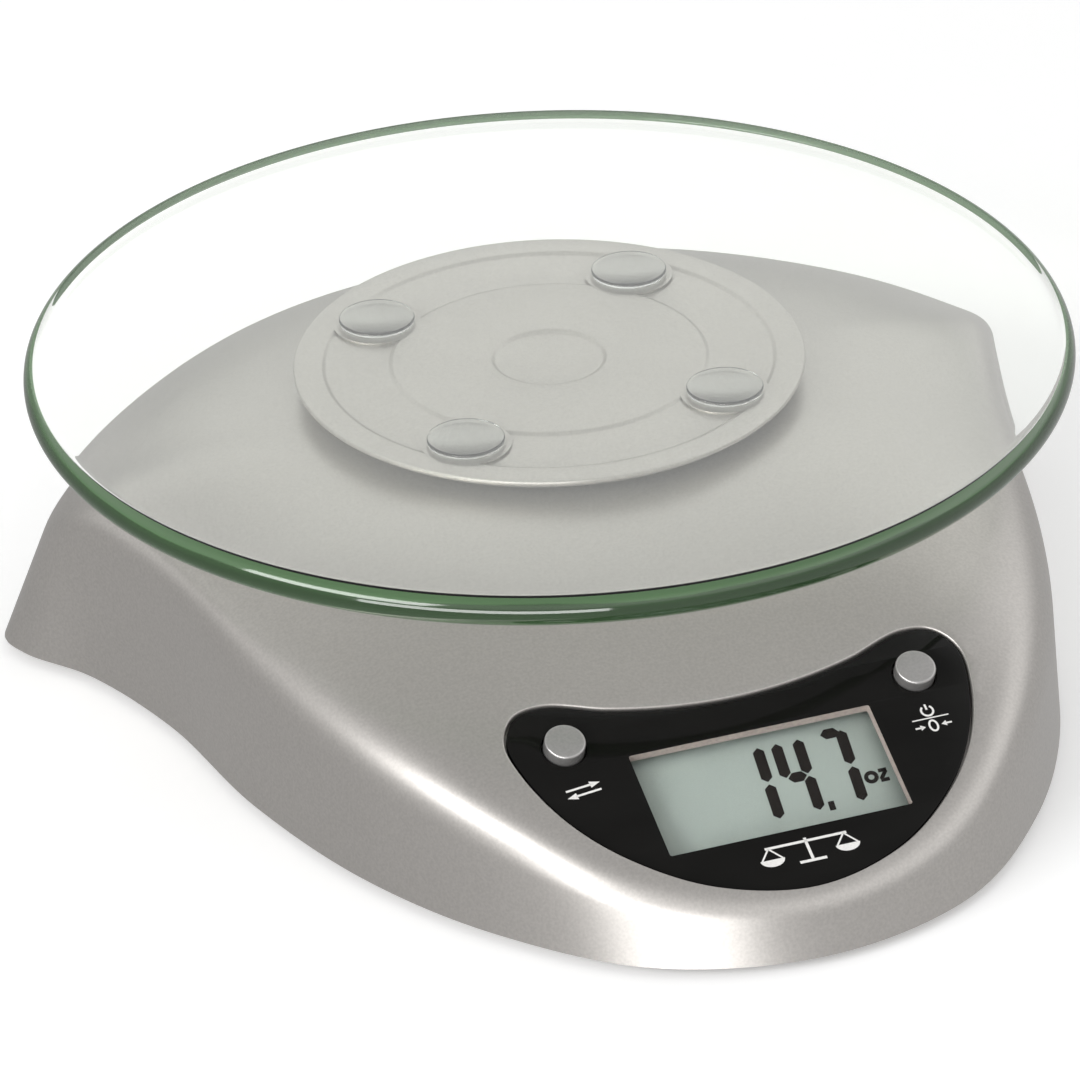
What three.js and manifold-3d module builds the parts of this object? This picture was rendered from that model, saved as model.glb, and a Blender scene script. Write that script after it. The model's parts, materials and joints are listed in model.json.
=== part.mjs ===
// Digital kitchen scale with a round glass platter, as an assembly of its separate pieces.
// Millimetres, +Z up, the front of the scale faces -Y. The origin lies on the table under the
// middle of the object's box. Inside the assembly group, X = Y = 0 is the platter's axis and
// Z = 0 is the lower edge of the housing.

import * as THREE from 'three';
import { mergeVertices } from 'three/addons/utils/BufferGeometryUtils.js';
import Module from 'manifold-3d';

const wasm = await Module();
wasm.setup();

// Driving dimensions
const platterR = 82;
const platterThick = 5;
const platterUnder = 39.6;
const noseReach = 116.5;
const footProud = 1.5;
const gap = 0.3;
const columnsPerStation = 3;

// Housing
const hubY = -10;
const domeTop = 35;
const domePower = 4;
const wallInset = 3;
const roofSink = 3.5;
const innerRound = 2;

// Display panel: centre of its window on the sloping front of the housing
const panelY = -93.56;
const panelZ = 17.05;
const panelTilt = THREE.MathUtils.degToRad(23.46);
const panelBendY = -78;
const panelThick = 1.5;
const panelSunk = 0.2;
const recessDepth = 2;
const buttonX = 27.8;
const buttonV = 13.1;
const windowW = 38.1;
const windowH = 18.6;

// Display stack, as depths below the sloping face
const roofDepth = 3.2;
const lensThick = 1;
const lcdW = 42;
const lcdH = 21.6;
const lcdTop = -3.5;
const lcdThick = 2;
const boardTop = -7.5;
const boardThick = 1.2;
const boardPostX = 29.5;
const boardPostV = 3;
const boardPostR = 2.5;
const boardPilotR = 1.1;

// Buttons
const capR = 3.1;
const capProud = 1.6;
const capChamfer = 0.4;
const capHoleR = 3.45;
const flangeR = 4.2;
const flangeThick = 0.5;
const plungerR = 1.6;

// Bottom shell
const floorLow = 0.4;
const floorTop = 2.6;
const floorInset = 4.6;
const rimInset = 6.6;
const rimThick = 1.6;
const rimTop = 4.6;
const padTop = 5;
const footR = 6;
const footPocket = 1;
const footPlaces = [[-28, -88], [28, -88], [-58, 28], [58, 28]];
const bossR = 3.5;
const pilotR = 1.4;
const pilotTop = 13;
const counterboreR = 2.8;
const beamCounterboreR = 2.9;
const screwPlaces = [[-46, -66], [46, -66], [-62, 8], [62, 8], [0, 50]];

// Load cell and the platter's support
const beamLength = 60;
const beamWide = 12;
const beamLow = 12;
const beamTall = 10;
const beamScrewX = [21, 27];
const beamScrewMiddle = (beamScrewX[0] + beamScrewX[1]) / 2;
const beamScrewR = 1.5;
const beamHoleR = 1.8;
const stopR = 2;
const bracketLow = beamLow + beamTall + 2.6;
const bracketThick = 2.5;
const hubR = 12;
const hubHoleR = 14;
const carrierR = 40;
const carrierLow = 36.4;
const carrierTop = 38.2;
const carrierScrewY = 8.5;
const padRing = 30;
const padR = 6;

// Battery and its door
const cellY = -48;
const cellR = 10;
const cellThick = 3.2;
const doorW = 28;
const doorL = 34;
const doorThick = 1.4;
const doorRoof = 2.1;
const wellTop = 6.6;
const notchR = 5;

// Right half of the panel's outline on the sloping face, from its chin round a lobe to its brow
const panelPoints = [[0, -19.6], [14.4, -16], [25.2, -8.1], [31.6, 0.2], [35.2, 9.5], [35.8, 15.8],
  [33.2, 20], [28.4, 20.8], [19.5, 17.9], [10, 16], [0, 15.3]];

// Stations along the right-hand edge of the housing, from the nose round to the tail: the
// wall's foot (x, y), the corner between wall and roof (x, y, z) and that corner's rounding.
const stations = [
  { foot: [0, -116.5], corner: [0, -114.3, 8.6], round: 2.6 },
  { foot: [24.5, -110.1], corner: [23.8, -107.9, 11.2], round: 3.8 },
  { foot: [42.8, -93], corner: [41.8, -91.8, 18.2], round: 6.5 },
  { foot: [56, -71.5], corner: [55, -70.6, 21.8], round: 6 },
  { foot: [65, -45], corner: [64.2, -44, 24.6], round: 5 },
  { foot: [69.8, -18], corner: [69.4, -17.5, 27.6], round: 4 },
  { foot: [77, 1.6], corner: [75, -0.5, 28.2], round: 4 },
  { foot: [84.4, 12.2], corner: [77.9, 8.2, 25.4], round: 4.5 },
  { foot: [85.8, 19], corner: [77.8, 15.4, 23], round: 5 },
  { foot: [70, 36], corner: [66.4, 29.5, 24.8], round: 5 },
  { foot: [38, 56], corner: [36, 51.4, 26.2], round: 5 },
  { foot: [0, 63], corner: [0, 59, 26.2], round: 5 },
];

const assembly = new THREE.Group();
assembly.position.set(0, (noseReach - platterR) / 2, footProud);

const slope = new THREE.Group();
slope.position.set(0, panelY, panelZ);
slope.rotation.x = panelTilt;
slope.updateMatrix();
assembly.add(slope);

const finishes = {
  silver: { color: 0xb4b2b0, roughness: 0.42, metalness: 0.6 },
  glass: { color: 0xcfe6d6, roughness: 0.03, metalness: 0, transparent: true, opacity: 0.35 },
  gloss: { color: 0x0b0b0c, roughness: 0.08, metalness: 0 },
  clear: { color: 0xe8f0ea, roughness: 0.02, metalness: 0, transparent: true, opacity: 0.2 },
  lcd: { color: 0xa3ada5, roughness: 0.3, metalness: 0 },
  dark: { color: 0x2a2b2d, roughness: 0.6, metalness: 0 },
  rubber: { color: 0x1d1d1e, roughness: 0.85, metalness: 0 },
  board: { color: 0x1c5a34, roughness: 0.5, metalness: 0 },
  alloy: { color: 0xc3c5c7, roughness: 0.35, metalness: 1 },
  steel: { color: 0xa9abae, roughness: 0.28, metalness: 1 },
  brass: { color: 0xc9a65a, roughness: 0.35, metalness: 1 },
  white: { color: 0xe6e4de, roughness: 0.55, metalness: 0 },
  red: { color: 0xa8241e, roughness: 0.5, metalness: 0 },
};

// Adds one named piece, with a material of its own.
function piece(name, geometry, finish, parent = assembly) {
  const mesh = new THREE.Mesh(geometry, new THREE.MeshStandardMaterial(finishes[finish]));
  mesh.name = name;
  parent.add(mesh);
  return mesh;
}

// Booleans

function solid(geometry) {
  const bare = geometry.clone();
  bare.deleteAttribute('normal');
  bare.deleteAttribute('uv');
  const merged = mergeVertices(bare, 1e-4);
  const corners = merged.index.array;
  const kept = [];
  for (let i = 0; i < corners.length; i += 3) {
    const [a, b, c] = [corners[i], corners[i + 1], corners[i + 2]];
    if (a !== b && b !== c && a !== c) kept.push(a, b, c);
  }
  return new wasm.Manifold(new wasm.Mesh({
    numProp: 3,
    vertProperties: merged.attributes.position.array,
    triVerts: Uint32Array.from(kept),
  }));
}

function geometryOf(body) {
  const mesh = body.getMesh();
  const geometry = new THREE.BufferGeometry();
  geometry.setAttribute('position', new THREE.BufferAttribute(mesh.vertProperties, 3));
  geometry.setIndex(new THREE.BufferAttribute(mesh.triVerts, 1));
  geometry.computeVertexNormals();
  return geometry;
}

function cut(geometry, tools) {
  return geometryOf(tools.reduce((body, tool) => body.subtract(solid(tool)), solid(geometry)));
}

// Plain shapes

function prism(shape, low, high, curveSegments = 10) {
  const options = { depth: high - low, bevelEnabled: false, curveSegments };
  return new THREE.ExtrudeGeometry(shape, options).translate(0, 0, low);
}

function rectangle(width, height, x = 0, y = 0) {
  const shape = new THREE.Shape();
  shape.moveTo(x - width / 2, y - height / 2);
  shape.lineTo(x + width / 2, y - height / 2);
  shape.lineTo(x + width / 2, y + height / 2);
  shape.lineTo(x - width / 2, y + height / 2);
  shape.closePath();
  return shape;
}

function block(width, depth, low, high, x = 0, y = 0) {
  return prism(rectangle(width, depth, x, y), low, high);
}

// An upright cylinder between two heights.
function rod(radius, low, high, x = 0, y = 0, sides = 16) {
  const geometry = new THREE.CylinderGeometry(radius, radius, high - low, sides);
  return geometry.rotateX(Math.PI / 2).translate(x, y, (low + high) / 2);
}

// A body of revolution about Z from (radius, height) pairs that start and end on the axis.
function turned(profile, sides = 24) {
  const points = profile.map(([r, z]) => new THREE.Vector2(r, z));
  return new THREE.LatheGeometry(points, sides).rotateX(Math.PI / 2);
}

// A profile in the (y, z) plane, extruded along X about its middle.
function barAlongX(shape, width) {
  const geometry = new THREE.ExtrudeGeometry(shape, { depth: width, bevelEnabled: false });
  return geometry.applyMatrix4(new THREE.Matrix4().set(
    0, 0, 1, -width / 2,
    1, 0, 0, 0,
    0, 1, 0, 0,
    0, 0, 0, 1,
  ));
}

function wire(points, radius) {
  const section = new THREE.Shape().absarc(0, 0, radius, 0, 2 * Math.PI);
  const extrudePath = new THREE.CatmullRomCurve3(points.map((p) => new THREE.Vector3(...p)));
  return new THREE.ExtrudeGeometry(section, { steps: 14, curveSegments: 4, extrudePath });
}

// A pan-head screw pointing up: its head hangs below headTop and its shaft rises to tip.
function screw(headR, headTall, shaftR, headTop, tip) {
  const low = headTop - headTall;
  const profile = [[0, low], [headR * 0.8, low], [headR, low + headTall * 0.4], [headR, headTop],
    [shaftR, headTop], [shaftR, tip - shaftR], [0, tip]];
  return turned(profile, 10);
}

// Housing form

// A closed smooth rail through the stations and their mirror images.
function rail(pointOf) {
  const right = stations.map(pointOf);
  const left = right.slice(1, -1).reverse().map((p) => new THREE.Vector3(-p.x, p.y, p.z));
  return new THREE.CatmullRomCurve3([...right, ...left], true, 'centripetal');
}

const footRail = rail((s) => new THREE.Vector3(s.foot[0], s.foot[1], 0));
const cornerRail = rail((s) => new THREE.Vector3(...s.corner));
const columns = columnsPerStation * footRail.points.length;

// The rounding eases from each station's value to the next.
function roundingAt(u) {
  const span = stations.length - 1;
  const place = Math.min(u, 1 - u) * 2 * span;
  const at = Math.min(Math.floor(place), span - 1);
  const ease = THREE.MathUtils.smoothstep(place - at, 0, 1);
  return THREE.MathUtils.lerp(stations[at].round, stations[at + 1].round, ease);
}

// Height of the roof along the middle of the housing: the sloping front, easing to the dome.
function spineHeight(y) {
  const grade = Math.tan(panelTilt);
  const bendZ = panelZ + grade * (panelBendY - panelY);
  const bendLength = 2 * (domeTop - bendZ) / grade;
  if (y < panelBendY) return panelZ + grade * (y - panelY);
  const run = Math.min(y - panelBendY, bendLength);
  return bendZ + grade * (run - run * run / (2 * bendLength));
}

// The roof along the line from the hub (share 0) to a corner of the housing (share 1).
function roofPoint(corner, share) {
  const y = THREE.MathUtils.lerp(hubY, corner.y, share);
  const drop = corner.z - spineHeight(corner.y);
  return new THREE.Vector3(corner.x * share, y, spineHeight(y) + drop * share ** domePower);
}

function towardsHub(point, distance) {
  const inward = new THREE.Vector3(-point.x, hubY - point.y, 0).normalize();
  return point.clone().addScaledVector(inward, distance);
}

// One section of the housing from its foot, up the wall, round the corner and along the roof.
function section(u, inset, sink, footZ, round, roofShares) {
  const foot = towardsHub(footRail.getPoint(u), inset).setZ(footZ);
  const corner = towardsHub(cornerRail.getPoint(u), inset);
  const reach = Math.hypot(corner.x, corner.y - hubY);
  const top = corner.clone().setZ(corner.z - sink);
  const wallEnd = top.clone().lerp(foot, round / top.distanceTo(foot));
  const roofStart = roofPoint(corner, 1 - round / reach);
  roofStart.z -= sink;
  const turn = new THREE.QuadraticBezierCurve3(wallEnd, top, roofStart);
  const roof = roofShares.map((share) => {
    const point = roofPoint(corner, share * (1 - round / reach));
    point.z -= sink;
    return point;
  });
  return [foot, ...turn.getPoints(inset > 0 ? 2 : 5), ...roof];
}

// A closed skin over sections of equal length, capped flat at the foot and at the hub.
function skin(sections) {
  const rows = sections[0].length;
  const positions = sections.flat().flatMap((p) => [p.x, p.y, p.z]);
  const indices = [];
  const count = sections.length;
  const footHub = positions.length / 3;
  positions.push(0, hubY, sections[0][0].z);
  positions.push(0, hubY, sections[0][rows - 1].z);
  for (let i = 0; i < count; i += 1) {
    const here = i * rows;
    const next = ((i + 1) % count) * rows;
    for (let j = 0; j < rows - 1; j += 1) {
      indices.push(here + j, next + j, next + j + 1);
      indices.push(here + j, next + j + 1, here + j + 1);
    }
    indices.push(footHub, next, here);
    indices.push(footHub + 1, here + rows - 1, next + rows - 1);
  }
  const geometry = new THREE.BufferGeometry();
  geometry.setAttribute('position', new THREE.Float32BufferAttribute(positions, 3));
  geometry.setIndex(indices);
  return geometry;
}

function housingOuter() {
  const shares = [0.88, 0.74, 0.58, 0.4, 0.2];
  return skin(Array.from({ length: columns }, (_, i) => {
    const u = i / columns;
    return section(u, 0, 0, 0, roundingAt(u), shares);
  }));
}

function housingInner() {
  const shares = [0.8, 0.55, 0.25];
  return skin(Array.from({ length: columns }, (_, i) => (
    section(i / columns, wallInset, roofSink, -1, innerRound, shares)
  )));
}

// The foot outline, drawn in towards the hub.
function footOutline(inset) {
  return new THREE.Shape(Array.from({ length: columns }, (_, i) => {
    const point = towardsHub(footRail.getPoint(i / columns), inset);
    return new THREE.Vector2(point.x, point.y);
  }));
}

// Display panel outline, grown outwards by a margin.
function panelOutline(margin) {
  const left = panelPoints.slice(1, -1).reverse().map(([x, v]) => [-x, v]);
  const points = [...panelPoints, ...left].map(([x, v]) => new THREE.Vector3(x, v, 0));
  const curve = new THREE.CatmullRomCurve3(points, true, 'centripetal');
  return new THREE.Shape(Array.from({ length: 3 * points.length }, (_, i) => {
    const u = i / (3 * points.length);
    const { x, y } = curve.getPoint(u);
    const along = curve.getTangent(u);
    return new THREE.Vector2(x + margin * along.y, y - margin * along.x);
  }));
}

function onSlope(geometry) {
  return geometry.applyMatrix4(slope.matrix);
}

// Pieces

function topShell() {
  const outer = solid(housingOuter());
  let body = outer.subtract(solid(housingInner()));
  for (const [x, y] of screwPlaces) {
    const boss = solid(rod(bossR, padTop + gap, domeTop + 2, x, y)).intersect(outer);
    body = body.add(boss).subtract(solid(rod(pilotR, padTop, pilotTop, x, y, 12)));
  }
  for (const x of [-boardPostX, boardPostX]) {
    const post = rod(boardPostR, boardTop + gap, 0.4 - roofDepth, x, boardPostV);
    const pilot = rod(boardPilotR, boardTop, -roofDepth, x, boardPostV, 12);
    body = body.add(solid(onSlope(post))).subtract(solid(onSlope(pilot)));
  }
  const openings = [
    onSlope(prism(panelOutline(gap), -recessDepth, 9)),
    onSlope(block(lcdW + 0.6, windowH + 4.4, -roofDepth - 1.5, 0)),
    onSlope(rod(capHoleR, -roofDepth - 1.5, 0, -buttonX, buttonV)),
    onSlope(rod(capHoleR, -roofDepth - 1.5, 0, buttonX, buttonV)),
    rod(hubHoleR, domeTop - 8, domeTop + 2, 0, 0, 30),
  ];
  for (const opening of openings) body = body.subtract(solid(opening));
  piece('top_shell', geometryOf(body), 'silver');
}

function bottomShell() {
  let body = solid(prism(footOutline(floorInset), floorLow, floorTop));
  const rim = cut(prism(footOutline(rimInset), floorTop - 0.5, rimTop), [
    prism(footOutline(rimInset + rimThick), floorTop - 1, rimTop + 1),
  ]);
  const raised = [
    rim,
    ...screwPlaces.map(([x, y]) => rod(5, floorLow, padTop, x, y)),
    block(20, 16, floorLow, padTop, -beamScrewMiddle, 0),
    rod(5, floorLow, padTop, beamScrewMiddle, 0),
    block(doorW + 8, doorL + 8, floorLow, floorTop + 1.8, 0, cellY),
    rod(cellR + 2.6, floorLow, wellTop, 0, cellY, 24),
  ];
  for (const part of raised) body = body.add(solid(part));
  const openings = [
    ...footPlaces.map(([x, y]) => rod(footR + gap, -1, floorLow + footPocket, x, y)),
    ...screwPlaces.map(([x, y]) => rod(counterboreR, -1, floorTop, x, y, 16)),
    ...screwPlaces.map(([x, y]) => rod(pilotR, 0, padTop + 1, x, y, 12)),
    ...beamScrewX.map((x) => rod(beamCounterboreR, -1, floorTop, -x, 0, 16)),
    ...beamScrewX.map((x) => rod(beamScrewR + gap, 0, padTop + 1, -x, 0, 16)),
    rod(stopR + gap, -1, padTop + 1, beamScrewMiddle, 0, 16),
    block(doorW + 2 * gap, doorL + 2 * gap, -1, doorRoof, 0, cellY),
    rod(cellR + gap, -1, wellTop + 1, 0, cellY, 24),
    block(5, 7, doorRoof, wellTop + 1, cellR + 2.5, cellY),
  ];
  for (const opening of openings) body = body.subtract(solid(opening));
  piece('bottom_shell', geometryOf(body), 'silver');
}

function feet() {
  footPlaces.forEach(([x, y], i) => {
    const top = floorLow + footPocket - gap;
    const profile = [[0, -footProud], [footR - 0.5, -footProud], [footR, 0.5 - footProud],
      [footR, top], [0, top]];
    piece(`foot_${i + 1}`, turned(profile, 20).translate(x, y, 0), 'rubber');
  });
}

function housingScrews() {
  screwPlaces.forEach(([x, y], i) => {
    piece(`housing_screw_${i + 1}`, screw(2.5, 1.6, 1.1, floorTop - gap, 12).translate(x, y, 0), 'steel');
  });
}

function platter() {
  const nose = platterThick / 2;
  const profile = [[0, 0]];
  for (let i = 0; i <= 8; i += 1) {
    const angle = (i / 8 - 0.5) * Math.PI;
    profile.push([platterR - nose + nose * Math.cos(angle), nose + nose * Math.sin(angle)]);
  }
  profile.push([0, platterThick]);
  piece('glass_platter', turned(profile, 72).translate(0, 0, platterUnder), 'glass');
}

function platterSupport() {
  const low = bracketLow + bracketThick + gap;
  const profile = [[0, low], [hubR, low], [hubR, carrierLow], [carrierR - 1, carrierLow],
    [carrierR, carrierLow + 0.8], [carrierR, carrierTop], [0, carrierTop]];
  const pilots = [-1, 1].map((side) => rod(pilotR, low - 1, low + 6, 0, side * carrierScrewY, 12));
  piece('platter_carrier', cut(turned(profile, 48), pilots), 'silver');
  for (let i = 0; i < 4; i += 1) {
    const angle = (i + 0.5) * Math.PI / 2;
    const pad = rod(padR, carrierTop + gap, platterUnder - gap);
    pad.translate(padRing * Math.cos(angle), padRing * Math.sin(angle), 0);
    piece(`platter_pad_${i + 1}`, pad, 'clear');
  }
  const bracket = cut(block(46, 24, bracketLow, bracketLow + bracketThick, 8, 0), [
    ...beamScrewX.map((x) => rod(beamScrewR + gap, 0, domeTop, x, 0, 16)),
    ...[-1, 1].map((side) => rod(pilotR, 0, domeTop, 0, side * carrierScrewY, 12)),
  ]);
  piece('load_bracket', bracket, 'alloy');
  [-1, 1].forEach((side, i) => {
    const shank = screw(2.5, 1.4, 1.1, bracketLow - gap, bracketLow + bracketThick + 5);
    piece(`carrier_screw_${i + 1}`, shank.translate(0, side * carrierScrewY, 0), 'steel');
  });
}

function loadCell() {
  const top = beamLow + beamTall;
  const sideways = (radius, x) => rod(radius, -beamWide, beamWide, 0, 0, 24)
    .rotateX(Math.PI / 2).translate(x, 0, beamLow + beamTall / 2);
  const holes = (side) => beamScrewX.map((x) => rod(beamHoleR, 0, domeTop, side * x, 0, 16));
  const beam = cut(block(beamLength, beamWide, beamLow, top), [
    ...holes(-1),
    ...holes(1),
    sideways(3.6, -6),
    sideways(3.6, 6),
    block(12, 2 * beamWide, beamLow + beamTall / 2 - 1, beamLow + beamTall / 2 + 1),
  ]);
  piece('load_cell_beam', beam, 'alloy');
  piece('gauge_sealant', block(20, 9, top + gap, top + 1.2), 'white');
  const fixedSpacer = block(13, beamWide, padTop + gap, beamLow - gap, -beamScrewMiddle, 0);
  piece('fixed_spacer', cut(fixedSpacer, holes(-1)), 'alloy');
  const loadSpacer = block(13, beamWide, top + gap, bracketLow - gap, beamScrewMiddle, 0);
  piece('load_spacer', cut(loadSpacer, holes(1)), 'alloy');
  beamScrewX.forEach((x, i) => {
    const below = screw(2.6, 1.7, beamScrewR, floorTop - gap, top - 2);
    piece(`fixed_end_screw_${i + 1}`, below.translate(-x, 0, 0), 'steel');
    const above = screw(2.6, 1.7, beamScrewR, 0, 14).rotateX(Math.PI);
    piece(`load_end_screw_${i + 1}`, above, 'steel')
      .position.set(x, 0, bracketLow + bracketThick + gap);
  });
  piece('overload_stop', rod(stopR, floorLow + 0.4, beamLow - 0.8, beamScrewMiddle, 0, 16), 'steel');
}

function displayPanel() {
  const shape = panelOutline(0);
  shape.holes.push(rectangle(windowW, windowH));
  for (const side of [-1, 1]) {
    shape.holes.push(new THREE.Path().absarc(side * buttonX, buttonV, capHoleR, 0, 2 * Math.PI));
  }
  piece('display_panel', prism(shape, -panelSunk - panelThick, -panelSunk), 'gloss', slope);
  const lensTop = -recessDepth;
  piece('display_window', block(lcdW, windowH + 3.8, lensTop - lensThick, lensTop), 'clear', slope);
}

function display() {
  const lcdLow = lcdTop - lcdThick;
  piece('lcd', block(lcdW, lcdH, lcdLow, lcdTop), 'lcd', slope);
  const frame = cut(block(lcdW + 2.4, lcdH + 2.2, boardTop + gap, lcdTop - 1), [
    block(lcdW + 2 * gap, lcdH + 2 * gap, boardTop - 1, lcdTop + 1),
  ]);
  piece('lcd_frame', frame, 'dark', slope);
  const strip = block(lcdW - 4, 2, boardTop + gap, lcdLow - gap, 0, lcdH / 2 - 2);
  piece('contact_strip', strip, 'rubber', slope);
}

function circuitBoard() {
  const shape = new THREE.Shape();
  shape.moveTo(-21, -12);
  shape.lineTo(21, -12);
  shape.lineTo(34, 0);
  shape.lineTo(34, 20);
  shape.lineTo(-34, 20);
  shape.lineTo(-34, 0);
  shape.closePath();
  const low = boardTop - boardThick;
  const screwX = [-boardPostX, boardPostX];
  const holes = screwX.map((x) => rod(pilotR, low - 1, boardTop + 1, x, boardPostV, 12));
  piece('circuit_board', cut(prism(shape, low, boardTop), holes), 'board', slope);
  const blob = [[0, -1.6], [2.5, -1.4], [4.3, -0.8], [5, 0], [0, 0]];
  piece('controller_blob', turned(blob, 20).translate(4, 8, low - gap), 'dark', slope);
  screwX.forEach((x, i) => {
    const shank = screw(2, 1.2, 0.8, low - gap, -roofDepth - 0.8);
    piece(`board_screw_${i + 1}`, shank.translate(x, boardPostV, 0), 'steel', slope);
  });
}

// A button cap on its side of the display, with the tact switch that it presses.
function button(side, sideName) {
  const flangeTop = -roofDepth - 2 * gap;
  const flangeLow = flangeTop - flangeThick;
  const cap = turned([[0, flangeLow], [flangeR, flangeLow], [flangeR, flangeTop], [capR, flangeTop],
    [capR, capProud - capChamfer], [capR - capChamfer, capProud], [0, capProud]], 24);
  piece(`${sideName}_button`, cap, 'silver', slope).position.set(side * buttonX, buttonV, 0);
  const plungerTop = flangeLow - gap;
  const plunger = rod(plungerR, boardTop + 1.3, plungerTop, 0, 0, 16);
  piece(`${sideName}_plunger`, plunger, 'dark', slope).position.set(side * buttonX, buttonV, 0);
  const base = cut(block(6, 6, boardTop + gap, boardTop + 2.3), [
    rod(plungerR + gap, boardTop + 0.6, 0, 0, 0, 16),
  ]);
  piece(`${sideName}_switch`, base, 'steel', slope).position.set(side * buttonX, buttonV, 0);
}

function battery() {
  const low = doorRoof;
  const cell = turned([[0, low], [cellR - 1.2, low], [cellR - 1.2, low + 0.3], [cellR, low + 0.6],
    [cellR, low + cellThick], [0, low + cellThick]], 24);
  piece('battery', cell.translate(0, cellY, 0), 'steel');
  const cellTop = low + cellThick;
  const leaf = new THREE.Shape();
  leaf.moveTo(-13, wellTop + gap);
  leaf.lineTo(-8, wellTop + gap);
  leaf.lineTo(-2, cellTop + gap);
  leaf.lineTo(2, cellTop + gap);
  leaf.lineTo(8, wellTop + gap);
  leaf.lineTo(13, wellTop + gap);
  leaf.lineTo(13, wellTop + 0.7);
  leaf.lineTo(8, wellTop + 0.7);
  leaf.lineTo(2, cellTop + 0.7);
  leaf.lineTo(-2, cellTop + 0.7);
  leaf.lineTo(-8, wellTop + 0.7);
  leaf.lineTo(-13, wellTop + 0.7);
  leaf.closePath();
  piece('negative_contact', barAlongX(leaf, 5), 'brass').position.y = cellY;
  const clip = new THREE.Shape();
  clip.moveTo(0, 0);
  clip.lineTo(0.4, 0);
  clip.lineTo(0.4, wellTop - doorRoof);
  clip.lineTo(6, wellTop - doorRoof);
  clip.lineTo(6, wellTop - doorRoof + 0.4);
  clip.lineTo(0, wellTop - doorRoof + 0.4);
  clip.closePath();
  const positive = piece('positive_contact', barAlongX(clip, 6).rotateZ(-Math.PI / 2), 'brass');
  positive.position.set(cellR + gap, cellY, doorRoof + gap);
}

// The door turns about its rounded rear edge.
function batteryDoor() {
  const hinge = cellY + doorL / 2 - doorThick / 2;
  const middle = floorLow + doorThick / 2;
  const shape = new THREE.Shape();
  shape.moveTo(cellY - doorL / 2, floorLow);
  shape.absarc(hinge, middle, doorThick / 2, -Math.PI / 2, Math.PI / 2, false);
  shape.lineTo(cellY - doorL / 2, floorLow + doorThick);
  shape.closePath();
  const notch = rod(notchR, -1, floorLow + 0.8, 0, cellY - doorL / 2 + 1);
  piece('battery_door', cut(barAlongX(shape, doorW), [notch]), 'silver');
}

function wiring() {
  const edgeY = panelY + 20 * Math.cos(panelTilt) + 9;
  piece('sensor_lead', wire([[-30.8, 2, 17], [-38, 0, 15], [-42, -14, 11], [-38, -46, 10],
    [-26, -60, 14], [-20, edgeY, 17]], 0.8), 'white');
  piece('battery_lead_positive', wire([[17.5, cellY, 7.6], [21, -53, 9], [18, -60, 14],
    [12, edgeY, 17]], 0.6), 'red');
  piece('battery_lead_negative', wire([[0, -61.5, 7.6], [2, -63.5, 11], [6, edgeY, 17]], 0.6), 'dark');
}

topShell();
bottomShell();
feet();
housingScrews();
platter();
platterSupport();
loadCell();
displayPanel();
display();
circuitBoard();
button(-1, 'left');
button(1, 'right');
battery();
batteryDoor();
wiring();

const scale = new THREE.Group();
scale.add(assembly);

export default scale;
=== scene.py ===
"""Looks of a digital kitchen scale with a round glass platter.

Sizes here are millimetres in the frame of the housing: X = Y = 0 is the platter's axis and
Z = 0 is the lower edge of the housing. ROW puts them in the row frame, in metres.
"""

import json
import math

import bmesh
import bpy
import numpy as np
from mathutils import Matrix, Vector
from mathutils.geometry import tessellate_polygon


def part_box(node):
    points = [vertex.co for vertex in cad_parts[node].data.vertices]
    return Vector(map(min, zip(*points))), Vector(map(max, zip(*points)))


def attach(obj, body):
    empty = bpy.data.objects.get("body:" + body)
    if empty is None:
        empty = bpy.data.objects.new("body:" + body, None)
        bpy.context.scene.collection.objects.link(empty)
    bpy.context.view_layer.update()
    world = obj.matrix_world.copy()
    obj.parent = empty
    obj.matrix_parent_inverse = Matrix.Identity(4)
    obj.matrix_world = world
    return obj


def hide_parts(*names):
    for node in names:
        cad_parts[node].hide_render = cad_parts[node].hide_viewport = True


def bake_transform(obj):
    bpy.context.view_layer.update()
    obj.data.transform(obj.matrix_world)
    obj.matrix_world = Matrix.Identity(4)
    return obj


bl_info = {
    "name": "Kitchen Scale Looks",
    "version": (1, 0, 0),
    "blender": (4, 5, 0),
    "location": "3D View > Sidebar > Kitchen Scale",
    "description": "Builds the visible pieces of a glass-topped kitchen scale around its CAD frame",
    "category": "Object",
}

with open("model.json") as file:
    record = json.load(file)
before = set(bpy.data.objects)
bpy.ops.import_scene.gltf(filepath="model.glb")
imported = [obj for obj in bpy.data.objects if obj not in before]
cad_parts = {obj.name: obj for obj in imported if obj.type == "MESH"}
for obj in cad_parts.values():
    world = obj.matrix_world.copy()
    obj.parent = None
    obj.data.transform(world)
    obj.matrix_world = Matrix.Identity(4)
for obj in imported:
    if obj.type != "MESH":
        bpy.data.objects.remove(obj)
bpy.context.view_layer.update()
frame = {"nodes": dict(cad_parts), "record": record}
BODY_OF = {node: body for body, nodes in frame["record"]["behaviour"]["bodies"].items() for node in nodes}

MM = 0.001
LEVEL = Matrix.Identity(4)
GAP = 0.3

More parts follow.
